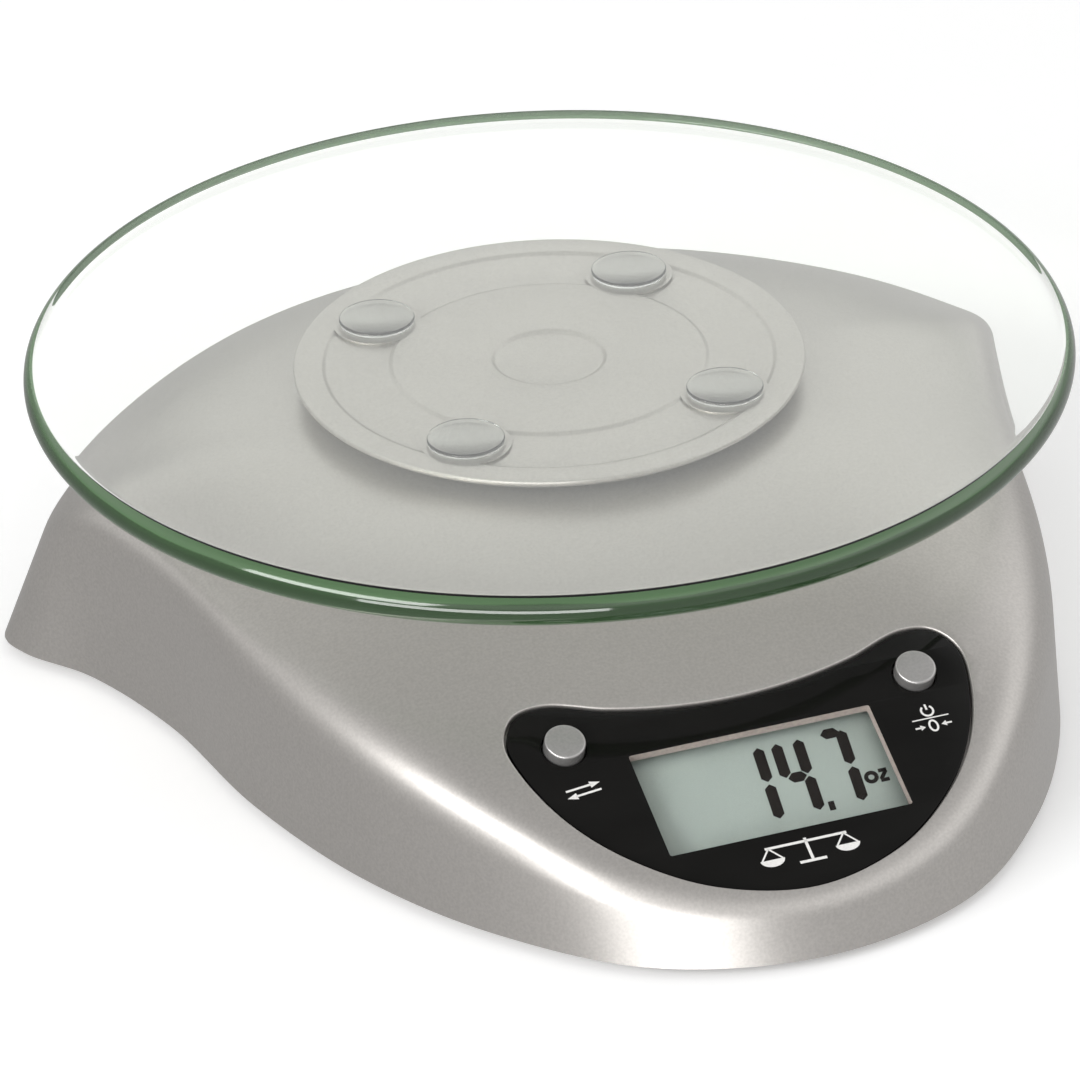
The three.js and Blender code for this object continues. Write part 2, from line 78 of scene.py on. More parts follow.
# Housing
NOSE_REACH = 116.5
FOOT_PROUD = 1.5
HUB_Y = -10.0
HUB_HOLE_R = 14.0
DOME_TOP = 35.0
DOME_POWER = 4
WALL_INSET = 3.0
ROOF_SINK = 3.5
ROOF_DEPTH = 3.2
PLATE_LOW = 0.4
PLATE_HIGH = 2.6
BOSS_TOP = 5.0
POST_R = 3.5
PILOT_R = 1.4
FOOT_R = 6.0
FOOT_PLACES = [(-28, -88), (28, -88), (-58, 28), (58, 28)]
SCREW_PLACES = [(-46, -66), (46, -66), (-62, 8), (62, 8), (0, 50)]
CELL_Y = -48.0
CELL_R = 10.0
DOOR_W = 28.0
DOOR_L = 34.0
DOOR_TOP = 1.8

# Platter, carrier and load cell
PLATTER_R = 82.0
PLATTER_LOW = 39.6
PLATTER_HIGH = 44.6
CARRIER_R = 40.0
CARRIER_TOP = 38.2
CARRIER_SCREW_Y = 8.5
PAD_RING = 30.0
PAD_R = 6.0
BEAM_SCREWS = (21, 27)
BEAM_SCREW_R = 1.5
BEAM_HOLE_R = 1.8
BEAM_LENGTH = 60.0
BEAM_WIDE = 12.0
BEAM_LOW = 12.0
BEAM_HIGH = 22.0
THIN_X = 6.0
THIN_R = 3.6
STOP_X = (BEAM_SCREWS[0] + BEAM_SCREWS[1]) / 2

# Display panel, in the plane of the sloping front: x across, v up the slope
PANEL_Y = -93.56
PANEL_Z = 17.05
PANEL_TILT = math.radians(23.46)
PANEL_BEND_Y = -78.0
PANEL_TOP = -0.2
PANEL_THICK = 1.5
RECESS = 2.0
BUTTON_X = 27.8
BUTTON_V = 13.1
BUTTON_HOLE_R = 3.45
WINDOW_W = 38.1
WINDOW_H = 18.6
LCD_W = 42.0
LCD_H = 21.6
LCD_TOP = -3.5
BOARD_TOP = -7.5
BOARD_SCREW_X = 29.5
BOARD_SCREW_V = 3.0

# The right half of the housing's edge: wall foot (x, y), corner (x, y, z), rounding.
STATIONS = [
    ((0, -116.5), (0, -114.3, 8.6), 2.6),
    ((24.5, -110.1), (23.8, -107.9, 11.2), 3.8),
    ((42.8, -93), (41.8, -91.8, 18.2), 6.5),
    ((56, -71.5), (55, -70.6, 21.8), 6),
    ((65, -45), (64.2, -44, 24.6), 5),
    ((69.8, -18), (69.4, -17.5, 27.6), 4),
    ((77, 1.6), (75, -0.5, 28.2), 4),
    ((84.4, 12.2), (77.9, 8.2, 25.4), 4.5),
    ((85.8, 19), (77.8, 15.4, 23), 5),
    ((70, 36), (66.4, 29.5, 24.8), 5),
    ((38, 56), (36, 51.4, 26.2), 5),
    ((0, 63), (0, 59, 26.2), 5),
]
PANEL_POINTS = [(0, -19.6), (14.4, -16), (25.2, -8.1), (31.6, 0.2), (35.2, 9.5), (35.8, 15.8),
                (33.2, 20), (28.4, 20.8), (19.5, 17.9), (10, 16), (0, 15.3)]

ROW = Matrix.Translation((0, (NOSE_REACH - PLATTER_R) / 2 * MM, FOOT_PROUD * MM)) @ Matrix.Scale(MM, 4)
SLOPE = Matrix.Translation((0, PANEL_Y, PANEL_Z)) @ Matrix.Rotation(PANEL_TILT, 4, "X")


# ---------------------------------------------------------------- meshes

def mesh_piece(name, vertices, faces, place=LEVEL, crease=35.0):
    """A named object from millimetre vertices, smooth except across edges sharper than crease."""
    mesh = bpy.data.meshes.new(name)
    at = ROW @ place
    mesh.from_pydata([at @ Vector(v) for v in vertices], [], faces)
    mesh.validate()
    piece = bpy.data.objects.new(name, mesh)
    bpy.context.scene.collection.objects.link(piece)
    soften(piece, crease)
    return piece


def soften(piece, crease=35.0):
    """Outward faces, and smooth shading that breaks only at real edges."""
    work = bmesh.new()
    work.from_mesh(piece.data)
    bmesh.ops.remove_doubles(work, verts=work.verts, dist=1e-7)
    bmesh.ops.recalc_face_normals(work, faces=work.faces)
    work.to_mesh(piece.data)
    work.free()
    piece.data.shade_smooth()
    piece.data.set_sharp_from_angle(angle=math.radians(crease))


def loft(rings, first="fan", last="fan"):
    """Vertices and faces of a skin over closed rings of equal length, capped at each end."""
    count = len(rings[0])
    vertices = [tuple(p) for ring in rings for p in ring]
    faces = []
    for j in range(len(rings) - 1):
        for i in range(count):
            k = (i + 1) % count
            faces.append((j * count + i, j * count + k, (j + 1) * count + k, (j + 1) * count + i))
    for ring, start, how in ((rings[0], 0, first), (rings[-1], (len(rings) - 1) * count, last)):
        if how == "fan":
            vertices.append(tuple(np.mean(np.array(ring, float), axis=0)))
            hub = len(vertices) - 1
            for i in range(count):
                faces.append((hub, start + (i + 1) % count, start + i))
        elif how == "flat":
            for a, b, c in tessellate_polygon([[Vector(p) for p in ring]]):
                faces.append((start + a, start + b, start + c))
    return vertices, faces


def eased(profile, radius, steps=4):
    """A (radius, height) profile whose corners off the axis are rounded."""
    out = [profile[0]]
    for before, here, after in zip(profile, profile[1:], profile[2:]):
        a, b, c = (Vector(p) for p in (before, here, after))
        reach = min(radius, (a - b).length / 2.1, (c - b).length / 2.1)
        if reach < 1e-3:
            out.append(here)
            continue
        start = b + (a - b).normalized() * reach
        end = b + (c - b).normalized() * reach
        for i in range(steps + 1):
            t = i / steps
            out.append(tuple((1 - t) ** 2 * start + 2 * t * (1 - t) * b + t * t * end))
    out.append(profile[-1])
    return out


def turned(profile, sides=64):
    """A body of revolution about Z; the profile starts and ends on the axis."""
    rings = []
    for r, z in profile[1:-1]:
        rings.append([(r * math.cos(2 * math.pi * i / sides), r * math.sin(2 * math.pi * i / sides), z)
                      for i in range(sides)])
    return loft(rings)


def turned_at(profile, x, y, sides=48):
    vertices, faces = turned(profile, sides)
    return [(a + x, b + y, c) for a, b, c in vertices], faces


def rod(radius, low, high, x=0.0, y=0.0, sides=40):
    return turned_at([(0, low), (radius, low), (radius, high), (0, high)], x, y, sides)


def prism(outline, low, high):
    return loft([[(x, y, low) for x, y in outline], [(x, y, high) for x, y in outline]], "flat", "flat")


def rounded_rectangle(width, height, radius, x=0.0, y=0.0, steps=5):
    points = []
    for sx, sy, turn in ((1, -1, -90), (1, 1, 0), (-1, 1, 90), (-1, -1, 180)):
        for i in range(steps + 1):
            angle = math.radians(turn + 90 * i / steps)
            points.append((x + sx * (width / 2 - radius) + radius * math.cos(angle),
                           y + sy * (height / 2 - radius) + radius * math.sin(angle)))
    return points


def bevelled_plate(outline, low, high, edge):
    """A flat plate on a closed outline with small rounded edges."""
    rings = []
    for inset, z in ((edge, low), (edge * 0.3, low + edge * 0.3), (0, low + edge),
                     (0, high - edge), (edge * 0.3, high - edge * 0.3), (edge, high)):
        rings.append([(x, y, z) for x, y in grown(outline, -inset)])
    return loft(rings, "flat", "flat")


def grown(outline, margin):
    """A closed anticlockwise outline moved outwards by margin along its normals."""
    points = np.array(outline, float)
    along = np.roll(points, -1, axis=0) - np.roll(points, 1, axis=0)
    along /= np.linalg.norm(along, axis=1)[:, None]
    return [tuple(p) for p in points + margin * np.stack([along[:, 1], -along[:, 0]], axis=1)]


def carve(body, cutter, how="DIFFERENCE"):
    """Applies one boolean to body and removes the cutter."""
    step = body.modifiers.new("Carve", "BOOLEAN")
    step.operation = how
    step.solver = "MANIFOLD"
    step.object = cutter
    bpy.context.view_layer.update()
    shaped = bpy.data.meshes.new_from_object(body.evaluated_get(bpy.context.evaluated_depsgraph_get()))
    if not shaped.polygons:
        raise RuntimeError(f"{body.name}: the cut with {cutter.name} left nothing")
    body.modifiers.clear()
    body.data = shaped
    bpy.data.objects.remove(cutter)


def carve_all(body, tools, how="DIFFERENCE"):
    """Applies booleans with tools given as vertices, faces and place."""
    for i, (vertices, faces, place) in enumerate(tools):
        carve(body, mesh_piece(f"tool_{i}", vertices, faces, place), how)


def merged(parts):
    """One list of vertices and faces from several."""
    vertices, faces = [], []
    for more, sides in parts:
        start = len(vertices)
        vertices += list(more)
        faces += [tuple(start + i for i in side) for side in sides]
    return vertices, faces


# ---------------------------------------------------------------- housing form

def smooth_loop(points, count):
    """Points on a closed centripetal spline through points, count of them to each span."""
    knots = np.array(points, float)
    out = []
    total = len(knots)
    for i in range(total):
        p0, p1, p2, p3 = (knots[(i + k) % total] for k in (-1, 0, 1, 2))
        d0, d1, d2 = (max(np.linalg.norm(b - a), 1e-9) ** 0.5 for a, b in ((p0, p1), (p1, p2), (p2, p3)))
        t1 = ((p1 - p0) / d0 - (p2 - p0) / (d0 + d1) + (p2 - p1) / d1) * d1
        t2 = ((p2 - p1) / d1 - (p3 - p1) / (d1 + d2) + (p3 - p2) / d2) * d1
        for k in range(count):
            t = k / count
            out.append(p1 + t1 * t + (-3 * p1 + 3 * p2 - 2 * t1 - t2) * t ** 2
                       + (2 * p1 - 2 * p2 + t1 + t2) * t ** 3)
    return np.array(out)


def settled(loop, spread):
    """A closed run of points, each averaged with its neighbours."""
    reach = int(3 * spread) + 1
    weights = np.exp(-0.5 * (np.arange(-reach, reach + 1) / spread) ** 2)
    weights /= weights.sum()
    return sum(w * np.roll(loop, k, axis=0) for w, k in zip(weights, range(-reach, reach + 1)))


def mirrored(points):
    return list(points) + [(-p[0], *p[1:]) for p in reversed(points[1:-1])]


PER_SPAN = 14
FOOT_RAIL = smooth_loop(mirrored([s[0] for s in STATIONS]), PER_SPAN)
CORNER_RAIL = settled(smooth_loop(mirrored([s[1] for s in STATIONS]), PER_SPAN), 4)
ROUNDING = settled(np.interp(np.arange(len(CORNER_RAIL)),
                             np.arange(2 * len(STATIONS) - 1) * PER_SPAN,
                             [s[2] for s in STATIONS] + [s[2] for s in STATIONS[-2::-1]]), 5)


def spine_height(y):
    """Height of the roof along the middle: the sloping front, easing to the dome."""
    grade = math.tan(PANEL_TILT)
    bend_z = PANEL_Z + grade * (PANEL_BEND_Y - PANEL_Y)
    length = 2 * (DOME_TOP - bend_z) / grade
    run = min(max(y - PANEL_BEND_Y, 0), length)
    return bend_z + grade * (min(y - PANEL_BEND_Y, 0) + run - run * run / (2 * length))


def roof_point(corner, share):
    y = HUB_Y + (corner[1] - HUB_Y) * share
    drop = corner[2] - spine_height(corner[1])
    return np.array([corner[0] * share, y, spine_height(y) + drop * share ** DOME_POWER])


def roof_height(x, y):
    """Height of the housing's roof over any place inside its rounded corner."""
    bearings = np.unwrap(np.arctan2(CORNER_RAIL[:, 1] - HUB_Y, CORNER_RAIL[:, 0]))
    bearing = math.atan2(y - HUB_Y, x)
    while bearing < bearings[0]:
        bearing += 2 * math.pi
    whole = np.append(bearings, bearings[0] + 2 * math.pi)
    corner = [np.interp(bearing, whole, np.append(CORNER_RAIL[:, k], CORNER_RAIL[0, k])) for k in range(3)]
    share = math.hypot(x, y - HUB_Y) / math.hypot(corner[0], corner[1] - HUB_Y)
    return roof_point(corner, share)[2]


def towards_hub(point, distance):
    inward = np.array([-point[0], HUB_Y - point[1]])
    return np.array(point[:2]) + inward / np.linalg.norm(inward) * distance


def housing_skin(inset, sink, foot_z, shares, turns, every, rounding=None):
    """Rings of the housing from its foot, up the wall, round the corner and in to the hub."""
    sections = []
    for i in range(0, len(FOOT_RAIL), every):
        foot = np.append(towards_hub(FOOT_RAIL[i], inset), foot_z)
        corner = np.append(towards_hub(CORNER_RAIL[i], inset), CORNER_RAIL[i][2])
        radius = rounding or ROUNDING[i]
        reach = math.hypot(corner[0], corner[1] - HUB_Y)
        lower = np.array([0, 0, sink])
        top = corner - lower
        wall_end = top + (foot - top) * radius / np.linalg.norm(foot - top)
        roof_start = roof_point(corner, 1 - radius / reach) - lower
        wall = [foot + (wall_end - foot) * t for t in np.linspace(0, 1, 6)[:-1]]
        turn = [(1 - t) ** 2 * wall_end + 2 * t * (1 - t) * top + t * t * roof_start
                for t in np.linspace(0, 1, turns + 1)]
        roof = [roof_point(corner, s * (1 - radius / reach)) - lower for s in shares]
        sections.append(wall + turn + roof)
    return loft([list(ring) for ring in zip(*sections)])


def panel_outline(margin):
    """The display panel's outline on the slope, grown by a margin."""
    loop = smooth_loop(mirrored(PANEL_POINTS), 10)
    return grown(loop, margin)


def height_over_slope(x, v):
    """Height of the housing's face over the slope's plane at (x, v)."""
    height = 0.0
    for _ in range(6):
        spot = SLOPE @ Vector((x, v, height))
        height += (roof_height(spot.x, spot.y) - spot.z) * math.cos(PANEL_TILT)
    return height


def recess_cutter():
    """The panel's recess, with a small rounded lip where it meets the housing's face."""
    rings = [[(x, v, -RECESS) for x, v in panel_outline(GAP)]]
    for margin, rise in ((0, -0.42), (0.06, -0.2), (0.2, -0.05), (0.55, 0.07), (1.6, 0.5)):
        outline = panel_outline(GAP + margin)
        rings.append([(x, v, height_over_slope(x, v) + rise) for x, v in outline])
    rings.append([(x, v, 12) for x, v in panel_outline(GAP + 1.6)])
    return loft(rings, "flat", "flat")


# ---------------------------------------------------------------- finishes

class Finish:
    """A material with its shader, object coordinates and short ways to add pattern nodes."""

    def __init__(self, name, colour, roughness, **sockets):
        self.material = bpy.data.materials.new(name)
        self.material.use_nodes = True
        self.nodes = self.material.node_tree.nodes
        self.links = self.material.node_tree.links
        self.shader = self.nodes["Principled BSDF"]
        self.shader.inputs["Base Color"].default_value = (*colour, 1)
        self.shader.inputs["Roughness"].default_value = roughness
        for socket, value in sockets.items():
            self.shader.inputs[socket.replace("_", " ")].default_value = value
        self.place = self.nodes.new("ShaderNodeTexCoord").outputs["Object"]

    def stretched(self, stretch, turn=(0, 0, 0)):
        node = self.nodes.new("ShaderNodeMapping")
        node.inputs["Scale"].default_value = stretch
        node.inputs["Rotation"].default_value = turn
        self.links.new(self.place, node.inputs["Vector"])
        return node.outputs["Vector"]

    def noise(self, per_metre, detail=2.0, place=None):
        node = self.nodes.new("ShaderNodeTexNoise")
        node.inputs["Scale"].default_value = per_metre
        node.inputs["Detail"].default_value = detail
        self.links.new(place or self.place, node.inputs["Vector"])
        return node.outputs["Fac"]

    def cells(self, per_metre, place=None):
        node = self.nodes.new("ShaderNodeTexVoronoi")
        node.inputs["Scale"].default_value = per_metre
        self.links.new(place or self.place, node.inputs["Vector"])
        return node.outputs["Distance"]

    def colours(self, pattern, low, high, dark, light):
        """Base colour between two tones along a pattern."""
        ramp = self.nodes.new("ShaderNodeValToRGB")
        ramp.color_ramp.elements[0].position = low
        ramp.color_ramp.elements[0].color = (*dark, 1)
        ramp.color_ramp.elements[1].position = high
        ramp.color_ramp.elements[1].color = (*light, 1)
        self.links.new(pattern, ramp.inputs["Fac"])
        self.links.new(ramp.outputs["Color"], self.shader.inputs["Base Color"])
        return self

    def roughness(self, pattern, low, high):
        span = self.nodes.new("ShaderNodeMapRange")
        span.inputs["To Min"].default_value = low
        span.inputs["To Max"].default_value = high
        self.links.new(pattern, span.inputs["Value"])
        self.links.new(span.outputs["Result"], self.shader.inputs["Roughness"])
        return self

    def bump(self, pattern, depth_mm, strength=1.0):
        node = self.nodes.new("ShaderNodeBump")
        node.inputs["Strength"].default_value = strength
        node.inputs["Distance"].default_value = depth_mm * MM
        self.links.new(pattern, node.inputs["Height"])
        self.links.new(node.outputs["Normal"], self.shader.inputs["Normal"])
        return self


def toned(colour, share):
    return tuple(min(1.0, c * share) for c in colour[:3])


def silver_paint(name, settings, depth=0.012):
    """Satin silver lacquer: fine metallic flake under a soft clear coat."""
    paint = Finish(name, settings.paint[:3], settings.paint_roughness, Metallic=settings.paint_metallic,
                   Coat_Weight=0.18, Coat_Roughness=0.3)
    flake = paint.noise(settings.flake_scale, 3.0)
    paint.colours(flake, 0.32, 0.68, toned(settings.paint, 0.93), toned(settings.paint, 1.06))
    paint.roughness(paint.noise(60.0), settings.paint_roughness - 0.03, settings.paint_roughness + 0.03)
    return paint.bump(paint.noise(settings.flake_scale * 0.8), depth, 0.35).material


def moulded_plastic(name, colour, roughness):
    """Spark-textured moulded plastic."""
    plastic = Finish(name, colour, roughness)
    grain = plastic.noise(1800.0, 3.0)
    plastic.colours(grain, 0.3, 0.7, toned(colour, 0.85), toned(colour, 1.15))
    plastic.roughness(plastic.noise(300.0), roughness - 0.05, roughness + 0.06)
    return plastic.bump(grain, 0.02, 0.4).material


def drawn_metal(name, colour, roughness, stretch=(0.06, 1.0, 1.0)):
    """Metal with fine lines left by drawing or milling along one direction."""
    metal = Finish(name, colour, roughness, Metallic=1.0)
    lines = metal.noise(1500.0, 3.0, metal.stretched(stretch))
    metal.colours(lines, 0.3, 0.7, toned(colour, 0.86), toned(colour, 1.08))
    metal.roughness(lines, roughness - 0.07, roughness + 0.1)
    return metal.bump(lines, 0.01, 0.4).material


def platter_glass(name, settings):
    """Clear float glass that lets the studio light through to the housing under it."""
    glass = Finish(name, settings.face_tint[:3], 0.0, IOR=1.5, Transmission_Weight=1.0)
    glass.roughness(glass.noise(35.0), 0.0, 0.012)
    through = glass.nodes.new("ShaderNodeBsdfTransparent")
    through.inputs["Color"].default_value = settings.shade_tint
    path = glass.nodes.new("ShaderNodeLightPath")
    either = glass.nodes.new("ShaderNodeMixShader")
    glass.links.new(path.outputs["Is Shadow Ray"], either.inputs["Fac"])
    glass.links.new(glass.shader.outputs["BSDF"], either.inputs[1])
    glass.links.new(through.outputs["BSDF"], either.inputs[2])
    glass.links.new(either.outputs["Shader"], glass.nodes["Material Output"].inputs["Surface"])
    return glass.material


def polished_edge(name, settings):
    """The platter's polished edge, where the glass shows its green, with a painted highlight and painted
    shade bands from face to face.
    """
    green = settings.edge_green
    edge = Finish(name, green[:3], 0.1, IOR=1.5, Transmission_Weight=0.35, Coat_Weight=0.6,
                  Coat_Roughness=0.03)
    split = edge.nodes.new("ShaderNodeSeparateXYZ")
    edge.links.new(edge.place, split.inputs["Vector"])
    # Painted light: a ramp over the edge's height paints a lighter band low down, a darker band above the
    # middle and a pale highlight at the top, over the glass's own green.
    height = edge.nodes.new("ShaderNodeMapRange")
    height.inputs["From Min"].default_value = (ROW @ Vector((0, 0, PLATTER_LOW))).z
    height.inputs["From Max"].default_value = (ROW @ Vector((0, 0, PLATTER_HIGH))).z
    edge.links.new(split.outputs["Z"], height.inputs["Value"])
    shade_bands_and_waver = edge.nodes.new("ShaderNodeMath")
    shade_bands_and_waver.operation = "MULTIPLY_ADD"
    shade_bands_and_waver.inputs[1].default_value = 0.4
    edge.links.new(edge.noise(26.0, 3.0, edge.stretched((1.0, 1.0, 3.0))), shade_bands_and_waver.inputs[0])
    edge.links.new(height.outputs["Result"], shade_bands_and_waver.inputs[2])
    edge.colours(shade_bands_and_waver.outputs["Value"], 0.0, 1.0, toned(green, 0.8), toned(green, 1.7))
    ramp = edge.nodes["Color Ramp"].color_ramp
    # Stops of the painted highlight and shade bands, as shares of the edge's green; the noise shifts them at
    # random around the edge.
    for position, share in ((0.3, 1.3), (0.52, 0.7), (0.8, 0.6), (0.95, 0.9)):
        ramp.elements.new(position).color = (*toned(green, share), 1)
    edge.roughness(edge.noise(90.0), 0.04, 0.14)
    return edge.material


def clear_plastic(name, bend=1.47):
    plastic = Finish(name, (0.97, 0.98, 0.97), 0.02, IOR=bend, Transmission_Weight=1.0)
    return plastic.roughness(plastic.noise(200.0), 0.01, 0.06).material


def gloss_black(name, settings):
    """Piano-black acrylic with the faint unevenness of a wiped surface."""
    gloss = Finish(name, settings.panel[:3], 0.05, Specular_IOR_Level=0.13)
    wiped = gloss.noise(45.0, 4.0, gloss.stretched((1.0, 2.6, 1.0)))
    gloss.colours(wiped, 0.35, 0.75, toned(settings.panel, 0.8), toned(settings.panel, 1.25))
    gloss.roughness(wiped, 0.03, 0.075)
    return gloss.bump(gloss.noise(120.0), 0.004, 0.25).material


def crystal_face(name, settings):
    """The grey-green reflective face of a liquid crystal display."""
    face = Finish(name, settings.crystal[:3], 0.42)
    grain = face.noise(5200.0, 1.0)
    face.colours(grain, 0.2, 0.8, toned(settings.crystal, 0.94), toned(settings.crystal, 1.06))
    face.roughness(face.noise(90.0), 0.36, 0.48)
    return face.bump(grain, 0.003, 0.3).material


def soft_rubber(name):
    rubber = Finish(name, (0.022, 0.022, 0.023), 0.8)
    grain = rubber.noise(1400.0, 4.0)
    rubber.colours(grain, 0.3, 0.75, (0.016, 0.016, 0.017), (0.034, 0.033, 0.033))
    rubber.roughness(grain, 0.7, 0.9)
    return rubber.bump(grain, 0.03, 0.5).material


def laminate(name):
    """Green circuit laminate with copper runs under the solder mask."""
    board = Finish(name, (0.02, 0.13, 0.05), 0.38)
    runs = board.nodes.new("ShaderNodeTexBrick")
    runs.inputs["Scale"].default_value = 160.0
    runs.inputs["Color1"].default_value = (0.018, 0.12, 0.045, 1)
    runs.inputs["Color2"].default_value = (0.022, 0.15, 0.055, 1)
    runs.inputs["Mortar"].default_value = (0.05, 0.24, 0.09, 1)
    runs.inputs["Mortar Size"].default_value = 0.03
    board.links.new(board.place, runs.inputs["Vector"])
    board.links.new(runs.outputs["Color"], board.shader.inputs["Base Color"])
    board.roughness(board.noise(400.0), 0.3, 0.45)
    return board.bump(runs.outputs["Fac"], 0.02, 0.4).material


def screen_ink(name, colour):
    ink = Finish(name, colour, 0.55, Specular_IOR_Level=0.12)
    coverage = ink.noise(3200.0, 2.0)
    ink.colours(coverage, 0.25, 0.6, toned(colour, 0.88), colour)
    return ink.bump(coverage, 0.004, 0.4).material


FINISHES = {}


def finish_table(scene):
    """Every finish of the scale by the name of its material slot, made once."""
    if FINISHES:
        return FINISHES
    housing, platter, display = scene.scale_housing, scene.scale_platter, scene.scale_display
    FINISHES.update({
        "housing_silver": silver_paint("SatinSilverPaint", housing),
        "button_silver": silver_paint("ButtonSilverPaint", scene.scale_buttons, 0.006),
        "platter_glass": platter_glass("PlatterGlass", platter),
        "polished_edge": polished_edge("PolishedEdge", platter),
        "clear_plastic": clear_plastic("ClearPlastic"),
        "coated_window": clear_plastic("CoatedWindow", 1.16),
        "panel_black": gloss_black("GlossBlackAcrylic", display),
        "acrylic_edge": moulded_plastic("AcrylicCutEdge", display.cut_edge[:3], 0.5),
        "lcd_face": crystal_face("CrystalFace", display),
        "lcd_ink": screen_ink("CrystalSegments", display.segment[:3]),
        "print_white": screen_ink("PrintedWhite", display.print_white[:3]),
        "dark_plastic": moulded_plastic("DarkPlastic", (0.03, 0.03, 0.032), 0.55),
        "foot_rubber": soft_rubber("FootRubber"),
        "board_laminate": laminate("BoardLaminate"),
        "beam_alloy": drawn_metal("MilledAlloy", (0.62, 0.63, 0.64), 0.34),
        "screw_steel": drawn_metal("PlatedSteel", (0.5, 0.5, 0.51), 0.28, (1.0, 1.0, 0.3)),
        "contact_metal": drawn_metal("SpringBrass", (0.66, 0.5, 0.22), 0.3, (1.0, 0.08, 1.0)),
        "sealant_white": moulded_plastic("SealantWhite", (0.72, 0.7, 0.66), 0.5),
        "lead_white": moulded_plastic("LeadWhite", (0.75, 0.74, 0.7), 0.45),
        "lead_red": moulded_plastic("LeadRed", (0.42, 0.03, 0.02), 0.42),
        "lead_black": moulded_plastic("LeadBlack", (0.02, 0.02, 0.02), 0.45),
    })
    return FINISHES


def dress(piece, slot):
    piece.data.materials.clear()
    piece.data.materials.append(FINISHES[slot])
    return piece


def stand_for(piece, slot, *nodes):
    """Gives a built piece its finish and puts it in place of CAD nodes of one body."""
    dress(piece, slot)
    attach(piece, BODY_OF[nodes[0]])
    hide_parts(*nodes)
    return piece


# ---------------------------------------------------------------- pieces

def housing_top():
    """The upper housing: a hollow shell with screw posts, the panel's recess and the hub's opening."""
    outer = housing_skin(0, 0, 0, [1 - k / 30 for k in range(1, 30)], turns=12, every=1)
    body = mesh_piece("housing_top", *outer)
    inner = housing_skin(WALL_INSET, ROOF_SINK, -1, [0.9, 0.75, 0.6, 0.45, 0.3, 0.15],
                         turns=5, every=2, rounding=2.0)
    carve(body, mesh_piece("hollow", *inner))
    for x, y in SCREW_PLACES:
        into_roof = roof_height(x, y) - 1.6
        carve_all(body, [(*rod(POST_R, BOSS_TOP + GAP, into_roof, x, y, 32), LEVEL)], "UNION")
        carve_all(body, [(*rod(PILOT_R, BOSS_TOP, BOSS_TOP + 8, x, y, 24), LEVEL)])
    for x in (-BOARD_SCREW_X, BOARD_SCREW_X):
        post = rod(2.5, BOARD_TOP + GAP, 0.4 - ROOF_DEPTH, x, BOARD_SCREW_V, 32)
        carve_all(body, [(*post, SLOPE)], "UNION")
        carve_all(body, [(*rod(1.1, BOARD_TOP, -ROOF_DEPTH, x, BOARD_SCREW_V, 24), SLOPE)])
    low = -ROOF_DEPTH - 1.5
    hub_hole = [(0, DOME_TOP - 8), (HUB_HOLE_R, DOME_TOP - 8), (HUB_HOLE_R, DOME_TOP - 0.7),
                (HUB_HOLE_R + 0.2, DOME_TOP - 0.2), (HUB_HOLE_R + 0.8, DOME_TOP + 0.1),
                (HUB_HOLE_R + 2, DOME_TOP + 2), (0, DOME_TOP + 2)]
    carve_all(body, [
        (*recess_cutter(), SLOPE),
        (*prism(rounded_rectangle(LCD_W + 0.6, WINDOW_H + 4.4, 0.5), low, 0), SLOPE),
        (*rod(BUTTON_HOLE_R, low, 0, -BUTTON_X, BUTTON_V), SLOPE),
        (*rod(BUTTON_HOLE_R, low, 0, BUTTON_X, BUTTON_V), SLOPE),
        (*turned(hub_hole, 96), LEVEL),
    ])
    soften(body, 30)
    lowest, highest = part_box("top_shell")
    for vertex in body.data.vertices:
        for k in range(3):
            vertex.co[k] = min(max(vertex.co[k], lowest[k]), highest[k])
    stand_for(body, "housing_silver", "top_shell")


def foot_outline(inset):
    return [tuple(towards_hub(p, inset)) for p in FOOT_RAIL[::2]]


def housing_base():
    """The lower housing: a plate with a rim and bosses, opened for screws, feet, cell and door."""
    body = mesh_piece("housing_base", *bevelled_plate(foot_outline(4.6), PLATE_LOW, PLATE_HIGH, 0.4))
    raised = [
        *[rod(5, PLATE_LOW, BOSS_TOP, x, y, 48) for x, y in SCREW_PLACES],
        prism(rounded_rectangle(20, 16, 1.5, -STOP_X, 0), PLATE_LOW, BOSS_TOP),
        rod(5, PLATE_LOW, BOSS_TOP, STOP_X, 0, 48),
        prism(rounded_rectangle(DOOR_W + 8, DOOR_L + 8, 2, 0, CELL_Y), PLATE_LOW, 4.4),
        rod(CELL_R + 2.6, PLATE_LOW, 6.6, 0, CELL_Y, 72),
    ]
    counterbore = [(0, -1), (3.2, -1), (3.2, PLATE_LOW), (2.8, 0.7), (2.8, PLATE_HIGH), (0, PLATE_HIGH)]
    openings = [
        *[rod(FOOT_R + GAP, -1, 1.4, x, y, 64) for x, y in FOOT_PLACES],
        *[turned_at(counterbore, x, y) for x, y in SCREW_PLACES],
        *[rod(PILOT_R, 0, 6, x, y, 24) for x, y in SCREW_PLACES],
        *[rod(2.9, -1, PLATE_HIGH, -x, 0, 48) for x in BEAM_SCREWS],
        *[rod(BEAM_HOLE_R, 0, 6, -x, 0, 32) for x in BEAM_SCREWS],
        rod(2.3, -1, 6, STOP_X, 0, 40),
        prism(rounded_rectangle(DOOR_W + 0.6, DOOR_L + 0.6, 0.4, 0, CELL_Y), -1, DOOR_TOP + GAP),
        rod(CELL_R + GAP, -1, 8, 0, CELL_Y, 72),
        prism(rounded_rectangle(5, 7, 0.4, 12.5, CELL_Y), DOOR_TOP + GAP, 8),
    ]
    carve_all(body, [(*prism(foot_outline(6.6), 2.0, 4.6), LEVEL)], "UNION")
    carve_all(body, [(*prism(foot_outline(8.2), PLATE_HIGH, 6), LEVEL)])
    carve_all(body, [(*tool, LEVEL) for tool in raised], "UNION")
    carve_all(body, [(*tool, LEVEL) for tool in openings])
    soften(body, 30)
    stand_for(body, "housing_silver", "bottom_shell")


